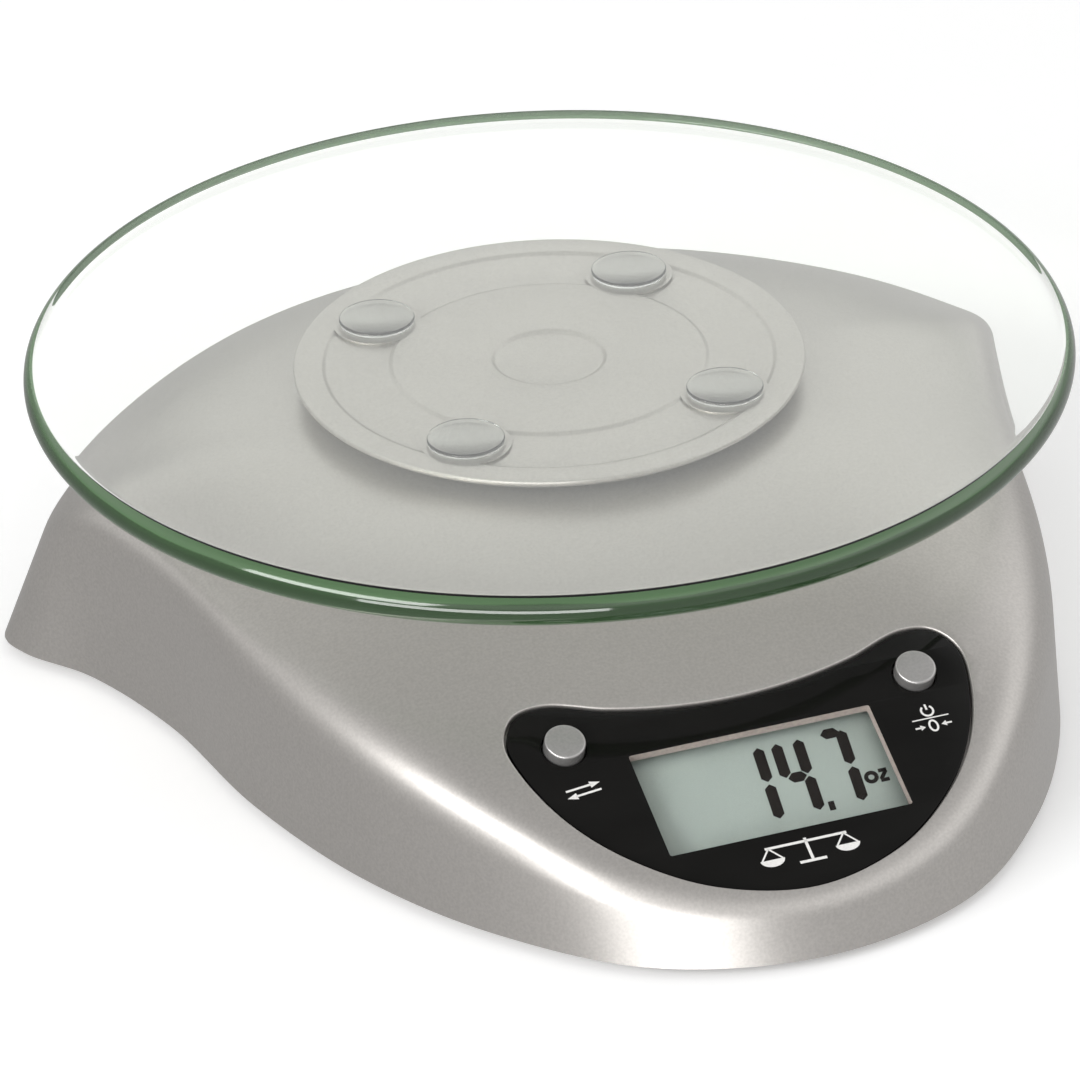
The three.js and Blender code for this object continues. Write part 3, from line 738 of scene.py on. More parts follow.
def cell_door():
    """The battery door: a rounded hinge edge at the rear, a thumb notch and grip lines at the front."""
    half = DOOR_W / 2
    low, high = PLATE_LOW, DOOR_TOP
    hinge_y, middle = CELL_Y + DOOR_L / 2 - 0.7, (low + high) / 2
    front = CELL_Y - DOOR_L / 2
    profile = [(front, high - 0.15), (front, low + 0.25), (front + 0.25, low)]
    for k in range(4):
        y = front + 8.5 + 2.0 * k
        profile += [(y, low), (y + 0.35, low + 0.3), (y + 0.75, low + 0.3), (y + 1.1, low)]
    profile += [(hinge_y + 0.7 * math.sin(a), middle - 0.7 * math.cos(a))
                for a in np.linspace(0, math.pi, 13)]
    profile.append((front + 0.15, high))
    rings = [[(x, y, z) for y, z in profile] for x in (-half, half)]
    door = mesh_piece("cell_door", *loft(rings, "flat", "flat"))
    carve_all(door, [(*rod(5, -1, 1.2, 0, front + 1, 64), LEVEL)])
    soften(door, 30)
    stand_for(door, "housing_silver", "battery_door")


def rubber_feet():
    for i, (x, y) in enumerate(FOOT_PLACES, 1):
        profile = [(0, -1.1), (3.4, -1.1), (3.8, -FOOT_PROUD), (5.3, -FOOT_PROUD), (FOOT_R, -0.9),
                   (FOOT_R, 1.1), (0, 1.1)]
        foot = mesh_piece(f"rubber_foot_{i}", *turned_at(eased(profile, 0.3), x, y, 64))
        stand_for(foot, "foot_rubber", f"foot_{i}")


def pan_head_screw(name, node, head, shaft_r, head_low, tip, at, place=LEVEL):
    """A pan-head screw pointing up, with a cross recess and a ridged shaft; head is radius and height."""
    head_r, head_tall = head
    top = head_low + head_tall
    root_r, pitch = shaft_r * 0.84, 0.8
    profile = [(0, head_low), (head_r * 0.78, head_low), (head_r, head_low + head_tall * 0.45),
               (head_r, top), (shaft_r, top)]
    z = top + 0.3
    while z + pitch < tip - shaft_r:
        profile += [(root_r, z), (shaft_r, z + pitch / 2)]
        z += pitch
    profile += [(root_r, tip - shaft_r), (0, tip)]
    shift = place @ Matrix.Translation((*at, 0))
    screw = mesh_piece(name, *turned(eased(profile, 0.12, 2), 40), shift)
    arm, width = head_r * 0.62, head_r * 0.2
    quarter = [(width, -arm), (width, -width), (arm, -width)]
    cross = [(x * math.cos(a) - y * math.sin(a), x * math.sin(a) + y * math.cos(a))
             for a in (math.pi * k / 2 for k in range(4)) for x, y in quarter]
    rings = [[(x, y, head_low - 1) for x, y in cross],
             [(x * 0.7, y * 0.7, head_low + head_tall * 0.7) for x, y in cross]]
    carve_all(screw, [(*loft(rings, "flat", "flat"), shift)])
    soften(screw, 30)
    stand_for(screw, "screw_steel", node)


def screws():
    for i, at in enumerate(SCREW_PLACES, 1):
        pan_head_screw(f"cover_screw_{i}", f"housing_screw_{i}", (2.5, 1.6), 1.1, 0.7, 12, at)
    beam_head = (2.6, 1.7)
    for i, x in enumerate(BEAM_SCREWS, 1):
        pan_head_screw(f"beam_screw_{i}", f"fixed_end_screw_{i}", beam_head, BEAM_SCREW_R, 0.6, 20, (-x, 0))
        over = Matrix.Translation((x, 0, 27.4)) @ Matrix.Rotation(math.pi, 4, "X")
        pan_head_screw(f"bracket_screw_{i}", f"load_end_screw_{i}", beam_head, BEAM_SCREW_R, -1.7, 14,
                       (0, 0), over)
    for i, y in enumerate((-CARRIER_SCREW_Y, CARRIER_SCREW_Y), 1):
        pan_head_screw(f"hub_screw_{i}", f"carrier_screw_{i}", (2.5, 1.4), 1.1, 22.9, 32.1, (0, y))
    for i, x in enumerate((-BOARD_SCREW_X, BOARD_SCREW_X), 1):
        pan_head_screw(f"board_fixing_{i}", f"board_screw_{i}", (2, 1.2), 0.8, BOARD_TOP - 2.7,
                       -ROOF_DEPTH - 0.8, (x, BOARD_SCREW_V), SLOPE)


def platter_disc(settings):
    """The glass disc: flat faces, and an edge ground to a round and polished."""
    nose = settings.edge_round
    nose_r = PLATTER_R - nose
    middle = (PLATTER_LOW + PLATTER_HIGH) / 2
    half = (PLATTER_HIGH - PLATTER_LOW) / 2
    steps = 24
    profile = [(0, PLATTER_LOW), (nose_r - 0.3, PLATTER_LOW)]
    for k in range(steps + 1):
        angle = math.pi * (k / steps - 0.5)
        profile.append((nose_r + nose * math.cos(angle), middle + half * math.sin(angle)))
    profile += [(nose_r - 0.3, PLATTER_HIGH), (0, PLATTER_HIGH)]
    disc = mesh_piece("platter_disc", *turned(profile, 360), crease=60)
    stand_for(disc, "platter_glass", "glass_platter")
    disc.data.materials.append(FINISHES["polished_edge"])
    centre = ROW @ Vector((0, 0, middle))
    for face in disc.data.polygons:
        outermost = (face.center - centre).xy.length > nose_r * MM
        if outermost and abs(face.center.z - centre.z) < settings.edge_band / 2 * MM:
            face.material_index = 1


def platter_carrier():
    """The moulded disc that carries the platter, with a raised ring, its hub and the clear pads."""
    top, low = CARRIER_TOP, CARRIER_TOP - 1.8
    profile = [(0, 27.4), (12, 27.4), (12, low), (CARRIER_R - 1.4, low), (CARRIER_R, top - 0.8),
               (CARRIER_R, top), (35.5, top), (35, top - 0.4), (25, top - 0.4), (24.5, top),
               (9, top), (8.5, top - 0.5), (0, top - 0.5)]
    body = mesh_piece("carrier_disc", *turned(eased(profile, 0.35, 3), 160))
    seat = [(0, top - 0.6), (PAD_R + 0.6, top - 0.6), (PAD_R + 0.6, top - 0.1), (PAD_R + 1, top), (0, top)]
    pad = eased([(0, top + GAP), (PAD_R, top + GAP), (PAD_R, PLATTER_LOW - GAP), (0, PLATTER_LOW - GAP)], 0.3)
    bearings = [math.pi * (k + 0.5) / 2 for k in range(4)]
    places = [(PAD_RING * math.cos(a), PAD_RING * math.sin(a)) for a in bearings]
    carve_all(body, [(*turned_at(seat, x, y, 56), LEVEL) for x, y in places], "UNION")
    carve_all(body, [(*rod(PILOT_R, 26, 33.4, 0, y, 24), LEVEL) for y in (-CARRIER_SCREW_Y, CARRIER_SCREW_Y)])
    soften(body, 30)
    stand_for(body, "housing_silver", "platter_carrier")
    for i, (x, y) in enumerate(places, 1):
        clear = mesh_piece(f"bonding_pad_{i}", *turned_at(pad, x, y, 56))
        stand_for(clear, "clear_plastic", f"platter_pad_{i}")


def display_panel():
    """The gloss black panel with its window and button holes cut right through."""
    low, high = PANEL_TOP - PANEL_THICK, PANEL_TOP
    body = mesh_piece("gloss_panel", *bevelled_plate(panel_outline(0), low, high, 0.22), SLOPE)
    carve_all(body, [
        (*prism(rounded_rectangle(WINDOW_W, WINDOW_H, 0.35), low - 1, high + 1), SLOPE),
        (*rod(BUTTON_HOLE_R, low - 1, high + 1, -BUTTON_X, BUTTON_V, 64), SLOPE),
        (*rod(BUTTON_HOLE_R, low - 1, high + 1, BUTTON_X, BUTTON_V, 64), SLOPE),
    ])
    soften(body, 30)
    stand_for(body, "panel_black", "display_panel")
    body.data.materials.append(FINISHES["acrylic_edge"])
    flat = (ROW @ SLOPE).inverted()
    outward = SLOPE.to_3x3() @ Vector((0, 0, 1))
    for face in body.data.polygons:
        centre = flat @ face.center
        upright = abs(face.normal.dot(outward)) < 0.3
        if upright and abs(centre.x) < WINDOW_W / 2 + 0.02 and abs(centre.y) < WINDOW_H / 2 + 0.02:
            face.material_index = 1
    lens = bevelled_plate(rounded_rectangle(LCD_W, WINDOW_H + 3.8, 0.4), -RECESS - 1, -RECESS, 0.1)
    window = stand_for(mesh_piece("clear_window", *lens, SLOPE), "clear_plastic", "display_window")
    dress(window, "coated_window")


# The bars that the reading lights, by their usual letters: ends as shares of a digit's width and height.
SEGMENT_ENDS = {
    "a": ((0, 0.97), (1, 0.97)), "b": ((1, 1), (1, 0.5)), "c": ((1, 0.5), (1, 0)),
    "f": ((0, 1), (0, 0.5)), "g": ((0, 0.5), (1, 0.5)),
}
LIT = {"1": "bc", "4": "bcfg", "7": "abc"}


def segment(start, end, width, shorten=0.22):
    """A bar with pointed ends between two places."""
    a, b = Vector(start), Vector(end)
    along = (b - a).normalized()
    across = Vector((-along.y, along.x)) * width / 2
    a, b = a + along * shorten, b - along * shorten
    tip = along * width * 0.42
    return [tuple(a), tuple(a + tip - across), tuple(b - tip - across), tuple(b),
            tuple(b - tip + across), tuple(a + tip + across)]


def slanted(outline, slant):
    return [(x + slant * y, y) for x, y in outline]


def stroke(points, width):
    """A thin printed line along points, as one outline."""
    line = [Vector(p) for p in points]
    left, right = [], []
    for i, p in enumerate(line):
        before = line[max(i - 1, 0)]
        after = line[min(i + 1, len(line) - 1)]
        along = (after - before).normalized()
        across = Vector((-along.y, along.x)) * width / 2
        left.append(tuple(p + across))
        right.append(tuple(p - across))
    return right + left[::-1]


def arc(x, y, radius, start, end, steps=28):
    return [(x + radius * math.cos(math.radians(start + (end - start) * k / steps)),
             y + radius * math.sin(math.radians(start + (end - start) * k / steps)))
            for k in range(steps + 1)]


def reading_outlines(settings):
    """The lit bars of 14.7, the point and the unit, slanted a little to the right."""
    tall, wide, bar, low = settings.digit_height, settings.digit_width, settings.bar_width, -5.2
    shapes = []
    for digit, left in zip("147", (-2.85, 3.45, 10.3)):
        for name in LIT[digit]:
            start, end = ((left + x * wide, low + v * tall) for x, v in SEGMENT_ENDS[name])
            shapes.append(segment(start, end, bar))
    shapes.append([(8.3, low - 0.3), (9.25, low - 0.3), (9.25, low + 1.3), (8.3, low + 1.3)])
    shapes.append(stroke(arc(16.0, -1.3, 0.8, 0, 360), 0.66))
    letter_z = ([(17.3, -0.45), (18.6, -0.45)], [(18.45, -0.6), (17.4, -2.0)], [(17.3, -2.2), (18.65, -2.2)])
    shapes += [stroke(line, 0.64) for line in letter_z]
    return [slanted(outline, 0.08) for outline in shapes]


def display(settings):
    """The liquid crystal cell with its reading, and the frame and rubber strip that hold it."""
    cell = bevelled_plate(rounded_rectangle(LCD_W, LCD_H, 0.3), LCD_TOP - 2, LCD_TOP, 0.12)
    stand_for(mesh_piece("crystal_cell", *cell, SLOPE), "lcd_face", "lcd")

    ink = [prism(outline, LCD_TOP + 0.02, LCD_TOP + 0.06) for outline in reading_outlines(settings)]
    reading = mesh_piece("reading", *merged(ink), SLOPE)
    dress(reading, "lcd_ink")
    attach(reading, BODY_OF["lcd"])

    rim = bevelled_plate(rounded_rectangle(LCD_W + 2.4, LCD_H + 2.2, 0.6), BOARD_TOP + GAP, LCD_TOP - 1, 0.15)
    holder = mesh_piece("cell_holder", *rim, SLOPE)
    carve_all(holder, [(*prism(rounded_rectangle(LCD_W + 0.6, LCD_H + 0.6, 0.4), -9, -2), SLOPE)])
    soften(holder, 30)
    stand_for(holder, "dark_plastic", "lcd_frame")
    strip = bevelled_plate(rounded_rectangle(LCD_W - 4, 2, 0.4, 0, LCD_H / 2 - 2),
                           BOARD_TOP + GAP, LCD_TOP - 2.3, 0.2)
    stand_for(mesh_piece("contact_rubber", *strip, SLOPE), "foot_rubber", "contact_strip")


def unit_mark():
    """Two arrows pointing opposite ways, for a change of unit."""
    arrow = [stroke([(-2.6, 0.62), (1.5, 0.62)], 0.34), [(1.3, 0.05), (2.9, 0.62), (1.3, 1.19)]]
    marks = []
    for turn in (math.radians(6), math.radians(186)):
        c, s = math.cos(turn), math.sin(turn)
        marks += [[(-27.5 + c * x - s * v, 5.1 + s * x + c * v) for x, v in outline] for outline in arrow]
    return marks


def power_and_zero_mark():
    """A power ring over a line, and a zero between two arrows under it."""
    middle, zero_v = 27.2, 3.3
    zero = [(middle + 0.62 * math.cos(math.radians(a)), zero_v + 0.95 * math.sin(math.radians(a)))
            for a in range(0, 361, 12)]
    marks = [stroke(arc(middle, 6.1, 0.92, 128, 412), 0.32), stroke([(middle, 6.3), (middle, 7.3)], 0.32),
             stroke([(24.3, 4.75), (30.1, 4.75)], 0.2), stroke(zero, 0.32)]
    for side in (-1, 1):
        marks.append(stroke([(middle + side * 2.9, zero_v), (middle + side * 1.7, zero_v)], 0.3))
        head = [(middle + side * 1.25, zero_v), (middle + side * 2.05, zero_v + 0.48),
                (middle + side * 2.05, zero_v - 0.48)]
        marks.append(head[::side])
    return marks


def balance_mark():
    """A small balance: beam, post and foot, and two hanging pans."""
    marks = [stroke([(-6.4, 1.55), (6.4, 1.55)], 0.42), stroke([(0, 2.1), (0, -1.75)], 0.46),
             stroke([(-2.1, -1.95), (2.1, -1.95)], 0.46)]
    for side in (-1, 1):
        hook = side * 5.9
        marks.append(stroke([(hook, 1.5), (hook + side * 1.6, -0.45)], 0.26))
        marks.append(stroke([(hook, 1.5), (hook - side * 1.6, -0.45)], 0.26))
        marks.append([(hook + 1.9 * math.cos(math.radians(a)), -0.45 + 1.25 * math.sin(math.radians(a)))
                      for a in range(180, 361, 12)])
    return [[(x + 1.2, v - 13.2) for x, v in outline] for outline in marks]


def printed_marks():
    """The white marks on the panel, as a thin raised print."""
    low = PANEL_TOP + 0.005
    ink = [prism(outline, low, low + 0.02)
           for outline in unit_mark() + power_and_zero_mark() + balance_mark()]
    print_layer = mesh_piece("printed_marks", *merged(ink), SLOPE)
    dress(print_layer, "print_white")
    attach(print_layer, BODY_OF["display_panel"])


def buttons(settings):
    """The two silver caps, each on a wider flange under the housing's face."""
    flange_low, flange_high = -4.3, -3.8
    profile = [(0, flange_low), (4.2, flange_low), (4.2, flange_high), (settings.cap_radius, flange_high),
               (settings.cap_radius, settings.cap_proud), (0, settings.cap_proud)]
    for side, name in ((-1, "left"), (1, "right")):
        cap = turned_at(eased(profile, settings.cap_edge, 6), side * BUTTON_X, BUTTON_V, 96)
        stand_for(mesh_piece(f"{name}_cap", *cap, SLOPE), "button_silver", f"{name}_button")
        dress(frame["nodes"][f"{name}_plunger"], "dark_plastic")
        dress(frame["nodes"][f"{name}_switch"], "screw_steel")


HIDDEN_FINISHES = {
    "circuit_board": "board_laminate", "controller_blob": "dark_plastic", "fixed_spacer": "beam_alloy",
    "load_spacer": "beam_alloy", "load_bracket": "beam_alloy", "gauge_sealant": "sealant_white",
    "overload_stop": "screw_steel", "negative_contact": "contact_metal", "positive_contact": "contact_metal",
    "sensor_lead": "lead_white", "battery_lead_positive": "lead_red", "battery_lead_negative": "lead_black",
}


def load_beam():
    """The load cell's beam, thinned in its middle between its fixed end and its load end."""
    middle = (BEAM_LOW + BEAM_HIGH) / 2
    outline = rounded_rectangle(BEAM_LENGTH, BEAM_WIDE, 0.3)
    beam = mesh_piece("load_beam", *bevelled_plate(outline, BEAM_LOW, BEAM_HIGH, 0.2))
    across = Matrix.Translation((0, 0, middle)) @ Matrix.Rotation(math.pi / 2, 4, "X")
    carve_all(beam, [
        *[(*rod(BEAM_HOLE_R, 0, DOME_TOP, side * x, 0, 32), LEVEL) for side in (-1, 1) for x in BEAM_SCREWS],
        *[(*rod(THIN_R, -BEAM_WIDE, BEAM_WIDE, x, 0), across) for x in (-THIN_X, THIN_X)],
        (*prism(rounded_rectangle(2 * THIN_X, 2, 0.1), -BEAM_WIDE, BEAM_WIDE), across),
    ])
    soften(beam, 30)
    dress(beam, "beam_alloy")
    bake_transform(beam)
    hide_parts("load_cell_beam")


def coin_cell():
    """The 3.2 mm coin cell, its smaller cap facing the door."""
    low, high = DOOR_TOP + GAP, 5.3
    profile = [(0, low), (8.6, low), (8.8, low + 0.2), (8.8, low + 0.5), (9.4, low + 0.6),
               (CELL_R, low + 0.9), (CELL_R, high), (0, high)]
    cell = mesh_piece("coin_cell", *turned_at(eased(profile, 0.15, 3), 0, CELL_Y, 96))
    stand_for(cell, "screw_steel", "battery")


def working_parts():
    """Finishes and softened edges for the CAD parts inside the housing."""
    for node, slot in HIDDEN_FINISHES.items():
        dress(frame["nodes"][node], slot)
        if slot in ("beam_alloy", "board_laminate"):
            edge = frame["nodes"][node].modifiers.new("BrokenEdge", "BEVEL")
            edge.width = 0.15 * MM
            edge.segments = 2
            edge.limit_method = "ANGLE"


# ---------------------------------------------------------------- stage

def sky(scene, settings):
    """A soft surround that is brightest at a third of its height and brighter on the right."""
    world = bpy.data.worlds.new("StudioSky")
    scene.world = world
    world.use_nodes = True
    nodes, links = world.node_tree.nodes, world.node_tree.links
    place = nodes.new("ShaderNodeTexCoord")
    split = nodes.new("ShaderNodeSeparateXYZ")
    ramp = nodes.new("ShaderNodeValToRGB")
    height = nodes.new("ShaderNodeMapRange")
    height.inputs["From Min"].default_value = -1.0
    links.new(place.outputs["Generated"], split.inputs["Vector"])
    links.new(split.outputs["Z"], height.inputs["Value"])
    links.new(height.outputs["Result"], ramp.inputs["Fac"])
    side = nodes.new("ShaderNodeMapRange")
    side.inputs["From Min"].default_value = -1.0
    side.inputs["To Min"].default_value = 1.0 - settings.side_lift
    side.inputs["To Max"].default_value = 1.0 + settings.side_lift
    links.new(split.outputs["X"], side.inputs["Value"])
    lifted = nodes.new("ShaderNodeVectorMath")
    lifted.operation = "SCALE"
    links.new(ramp.outputs["Color"], lifted.inputs[0])
    links.new(side.outputs["Result"], lifted.inputs["Scale"])
    bands = ((0.0, settings.below), (0.49, settings.below), (0.51, settings.horizon),
             (0.6, settings.horizon), (0.7, settings.shoulder), (0.82, settings.shoulder),
             (0.93, settings.zenith))
    steps = ramp.color_ramp.elements
    while len(steps) < len(bands):
        steps.new(0.5)
    for step, (position, level) in zip(steps, bands):
        step.position = position
        step.color = (level, level, level, 1)
    links.new(lifted.outputs["Vector"], nodes["Background"].inputs["Color"])
    nodes["Background"].inputs["Strength"].default_value = settings.sky_strength


def softbox(name, azimuth, elevation, distance, width, height, power):
    """An area light facing the scale; degrees and metres."""
    light = bpy.data.lights.new(name, "AREA")
    light.shape = "RECTANGLE"
    light.size = width
    light.size_y = height
    light.energy = power
    lamp = bpy.data.objects.new(name, light)
    bpy.context.scene.collection.objects.link(lamp)
    a, e = math.radians(azimuth), math.radians(elevation)
    away = Vector((math.sin(a) * math.cos(e), -math.cos(a) * math.cos(e), math.sin(e)))
    lamp.location = Vector((0, 0, 0.02)) + away * distance
    lamp.rotation_euler = away.to_track_quat("Z", "Y").to_euler()


def table_top(settings):
    """A wide pale floor that glossy rays pass by, and that is clear to a camera below it."""
    half, steps = 3.0, 24
    mesh = bpy.data.meshes.new("studio_floor")
    grid = bmesh.new()
    bmesh.ops.create_grid(grid, x_segments=steps, y_segments=steps, size=half)
    grid.to_mesh(mesh)
    grid.free()
    floor = bpy.data.objects.new("studio_floor", mesh)
    bpy.context.scene.collection.objects.link(floor)
    finish = Finish("StudioFloor", settings.floor[:3], 0.6, Specular_IOR_Level=0.2)
    finish.colours(finish.noise(7.0), 0.3, 0.7, toned(settings.floor, 0.99), settings.floor[:3])
    finish.shader.inputs["Emission Color"].default_value = (1, 1, 1, 1)
    finish.shader.inputs["Emission Strength"].default_value = settings.floor_glow
    clear = finish.nodes.new("ShaderNodeBsdfTransparent")
    facing = finish.nodes.new("ShaderNodeNewGeometry")
    either = finish.nodes.new("ShaderNodeMixShader")
    finish.links.new(facing.outputs["Backfacing"], either.inputs["Fac"])
    finish.links.new(finish.shader.outputs["BSDF"], either.inputs[1])
    finish.links.new(clear.outputs["BSDF"], either.inputs[2])
    finish.links.new(either.outputs["Shader"], finish.nodes["Material Output"].inputs["Surface"])
    mesh.materials.append(finish.material)
    floor.visible_glossy = False


def stage_camera(scene, settings):
    """The camera, aimed near the platter's middle and rolled about its own axis."""
    azimuth, elevation, roll = settings.azimuth, settings.elevation, settings.roll
    back = Vector((math.sin(azimuth) * math.cos(elevation), -math.cos(azimuth) * math.cos(elevation),
                   math.sin(elevation)))
    level = Vector((math.cos(azimuth), math.sin(azimuth), 0))
    upright = back.cross(level)
    right = math.cos(roll) * level + math.sin(roll) * upright
    up = -math.sin(roll) * level + math.cos(roll) * upright
    aim = ROW @ Vector((0, 0, (PLATTER_LOW + PLATTER_HIGH) / 2))
    lens = bpy.data.cameras.new("StudioCamera")
    lens.lens = settings.lens
    lens.sensor_width = 36
    camera = bpy.data.objects.new("StudioCamera", lens)
    scene.collection.objects.link(camera)
    place = aim + right * settings.aim_right + up * settings.aim_up + back * settings.distance
    camera.matrix_world = Matrix((
        (right.x, up.x, back.x, place.x),
        (right.y, up.y, back.y, place.y),
        (right.z, up.z, back.z, place.z),
        (0, 0, 0, 1),
    ))
    scene.camera = camera


# ---------------------------------------------------------------- settings

def colour_property(name, description, default):
    return bpy.props.FloatVectorProperty(name=name, description=description, default=(*default, 1.0),
                                         size=4, min=0, max=1, subtype="COLOR")


def number_property(name, description, default, low=0.0, high=1.0):
    return bpy.props.FloatProperty(name=name, description=description, default=default, min=low, max=high)


class ScaleHousingSettings(bpy.types.PropertyGroup):
    paint: colour_property("Paint", "Colour of the silver lacquer", (0.50, 0.478, 0.455))
    paint_roughness: number_property("Roughness", "Roughness of the lacquer", 0.38)
    paint_metallic: number_property("Metallic", "Share of metal in the lacquer", 0.78)
    flake_scale: number_property("Flake", "Metal flakes to the metre", 2200.0, 100.0, 9000.0)


class ScaleButtonSettings(bpy.types.PropertyGroup):
    paint: colour_property("Paint", "Colour of the button caps", (0.45, 0.44, 0.43))
    paint_roughness: number_property("Roughness", "Roughness of the caps", 0.32)
    paint_metallic: number_property("Metallic", "Share of metal in the caps", 0.75)
    flake_scale: number_property("Flake", "Metal flakes to the metre", 2600.0, 100.0, 9000.0)
    cap_radius: number_property("Radius", "Radius of a cap in millimetres", 3.1, 2.0, 3.3)
    cap_proud: number_property("Height", "Height of a cap over the slope in millimetres", 1.6, 0.5, 1.6)
    cap_edge: number_property("Edge", "Rounding of a cap's edge in millimetres", 0.5, 0.1, 1.0)


class ScalePlatterSettings(bpy.types.PropertyGroup):
    face_tint: colour_property("Face", "Tint of light that passes the faces", (0.985, 1.0, 0.975))
    shade_tint: colour_property("Shade", "Tint of the light that falls through the platter",
                                (0.94, 0.96, 0.92))
    edge_green: colour_property("Edge green", "Colour of the polished edge", (0.060, 0.118, 0.052))
    edge_band: number_property("Edge band", "Height of the green band in millimetres", 4.5, 0.5, 5.0)
    edge_round: number_property("Edge", "Depth of the rounded edge in millimetres", 2.5, 0.3, 2.5)


class ScaleDisplaySettings(bpy.types.PropertyGroup):
    panel: colour_property("Panel", "Colour of the gloss panel", (0.0062, 0.006, 0.0055))
    cut_edge: colour_property("Cut edge", "Colour of the panel's window wall", (0.36, 0.31, 0.28))
    crystal: colour_property("Crystal", "Colour of the display's face", (0.50, 0.565, 0.525))
    segment: colour_property("Segments", "Colour of the lit segments", (0.022, 0.017, 0.015))
    print_white: colour_property("Print", "Colour of the printed marks", (0.78, 0.77, 0.75))
    digit_height: number_property("Digit height", "Height of a digit in millimetres", 13.4, 5.0, 16.0)
    digit_width: number_property("Digit width", "Width of a digit in millimetres", 3.4, 2.0, 8.0)
    bar_width: number_property("Bar", "Width of a segment in millimetres", 1.75, 0.4, 2.5)


class ScaleStudioSettings(bpy.types.PropertyGroup):
    azimuth: bpy.props.FloatProperty(name="Azimuth", description="Camera bearing, to the object's left",
                                     default=math.radians(-18.92), subtype="ANGLE")
    elevation: bpy.props.FloatProperty(name="Elevation", description="Camera height angle",
                                       default=math.radians(29.68), subtype="ANGLE")
    roll: bpy.props.FloatProperty(name="Roll", description="Camera roll",
                                  default=math.radians(-1.92), subtype="ANGLE")
    distance: bpy.props.FloatProperty(name="Distance", description="Camera distance from the platter",
                                      default=1.1, min=0.2, unit="LENGTH")
    aim_right: bpy.props.FloatProperty(name="Aim right", description="Aim to the right of the platter",
                                       default=-0.0014, unit="LENGTH")
    aim_up: bpy.props.FloatProperty(name="Aim up", description="Aim above the platter",
                                    default=-0.0294, unit="LENGTH")
    lens: number_property("Lens", "Focal length in millimetres", 234.9, 20.0, 400.0)
    sky_strength: number_property("Sky", "Strength of the surrounding light", 1.0, 0.0, 5.0)
    below: number_property("Below", "Brightness that glossy faces see below the horizon", 0.42)
    horizon: number_property("Horizon", "Brightness of the sky at the horizon", 0.35)
    shoulder: number_property("Shoulder", "Brightness of the sky at a third of its height", 1.0)
    zenith: number_property("Zenith", "Brightness of the sky overhead", 0.44)
    side_lift: number_property("Side lift", "Share by which the right-hand sky is brighter", 0.4)
    key_power: number_property("Key", "Power of the side softbox in watts", 9.0, 0.0, 200.0)
    fill_power: number_property("Fill", "Power of the low front softbox in watts", 17.0, 0.0, 200.0)
    floor_glow: number_property("Floor glow", "Light that the floor gives off by itself", 0.2)
    floor: colour_property("Floor", "Colour of the floor", (0.94, 0.94, 0.94))


class BuildHousingTop(bpy.types.Operator):
    """Build the silver upper housing with its panel recess"""
    bl_idname = "kitchen_scale.housing_top"
    bl_label = "Housing Top"

    def execute(self, context):
        finish_table(context.scene)
        housing_top()
        return {"FINISHED"}


class BuildHousingBase(bpy.types.Operator):
    """Build the lower housing, the battery door and the rubber feet"""
    bl_idname = "kitchen_scale.housing_base"
    bl_label = "Housing Base"

    def execute(self, context):
        finish_table(context.scene)
        housing_base()
        cell_door()
        rubber_feet()
        return {"FINISHED"}


class BuildScrews(bpy.types.Operator):
    """Build every screw"""
    bl_idname = "kitchen_scale.screws"
    bl_label = "Screws"

    def execute(self, context):
        finish_table(context.scene)
        screws()
        return {"FINISHED"}


class BuildPlatter(bpy.types.Operator):
    """Build the glass platter and the carrier under it"""
    bl_idname = "kitchen_scale.platter"
    bl_label = "Platter"

    def execute(self, context):
        finish_table(context.scene)
        platter_disc(context.scene.scale_platter)
        platter_carrier()
        return {"FINISHED"}


class BuildDisplay(bpy.types.Operator):
    """Build the gloss panel, its window, the display and the printed marks"""
    bl_idname = "kitchen_scale.display"
    bl_label = "Display"

    def execute(self, context):
        finish_table(context.scene)
        display_panel()
        display(context.scene.scale_display)
        printed_marks()
        return {"FINISHED"}


class BuildButtons(bpy.types.Operator):
    """Build the two button caps"""
    bl_idname = "kitchen_scale.buttons"
    bl_label = "Buttons"

    def execute(self, context):
        finish_table(context.scene)
        buttons(context.scene.scale_buttons)
        return {"FINISHED"}


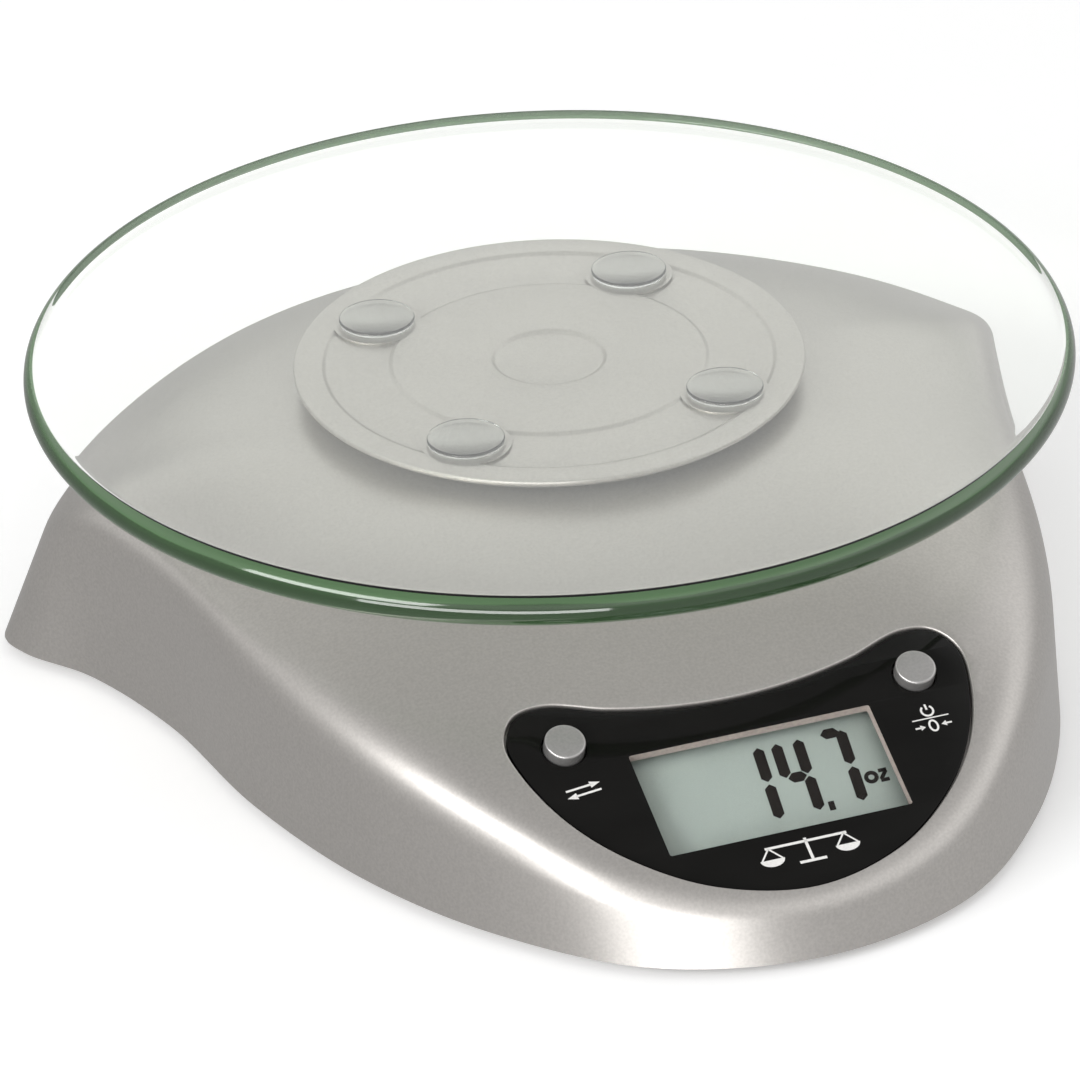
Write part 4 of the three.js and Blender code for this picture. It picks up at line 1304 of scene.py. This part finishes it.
class BuildWorkingParts(bpy.types.Operator):
    """Finish the load cell, circuit board, coin cell, contacts and leads"""
    bl_idname = "kitchen_scale.working_parts"
    bl_label = "Working Parts"

    def execute(self, context):
        finish_table(context.scene)
        load_beam()
        working_parts()
        coin_cell()
        return {"FINISHED"}


class BuildStage(bpy.types.Operator):
    """Lay the floor, light the studio and place the camera"""
    bl_idname = "kitchen_scale.stage"
    bl_label = "Stage"

    def execute(self, context):
        scene = context.scene
        studio = scene.scale_studio
        scene.view_settings.view_transform = "Standard"
        table_top(studio)
        sky(scene, studio)
        softbox("SideSoftbox", azimuth=-66, elevation=27, distance=1.3, width=0.9, height=0.42,
                power=studio.key_power)
        softbox("FrontSoftbox", azimuth=-34, elevation=2, distance=1.6, width=1.5, height=0.5,
                power=studio.fill_power)
        stage_camera(scene, studio)
        return {"FINISHED"}


class KitchenScalePanel(bpy.types.Panel):
    """Lists the steps that build the scale"""
    bl_idname = "VIEW3D_PT_kitchen_scale"
    bl_label = "Kitchen Scale"
    bl_space_type = "VIEW_3D"
    bl_region_type = "UI"
    bl_category = "Kitchen Scale"

    def draw(self, context):
        for step in STEPS:
            self.layout.operator(step.bl_idname)


STEPS = (BuildHousingTop, BuildHousingBase, BuildScrews, BuildPlatter, BuildDisplay, BuildButtons,
         BuildWorkingParts, BuildStage)
SETTINGS = {
    "scale_housing": ScaleHousingSettings,
    "scale_buttons": ScaleButtonSettings,
    "scale_platter": ScalePlatterSettings,
    "scale_display": ScaleDisplaySettings,
    "scale_studio": ScaleStudioSettings,
}


def register():
    for group in (*SETTINGS.values(), *STEPS, KitchenScalePanel):
        bpy.utils.register_class(group)
    for name, group in SETTINGS.items():
        setattr(bpy.types.Scene, name, bpy.props.PointerProperty(type=group))


def unregister():
    for name in SETTINGS:
        delattr(bpy.types.Scene, name)
    for group in (KitchenScalePanel, *reversed(STEPS), *reversed(SETTINGS.values())):
        bpy.utils.unregister_class(group)


def main():
    register()
    for step in STEPS:
        family, action = step.bl_idname.split(".")
        getattr(getattr(bpy.ops, family), action)()


if __name__ == "__main__":
    main()
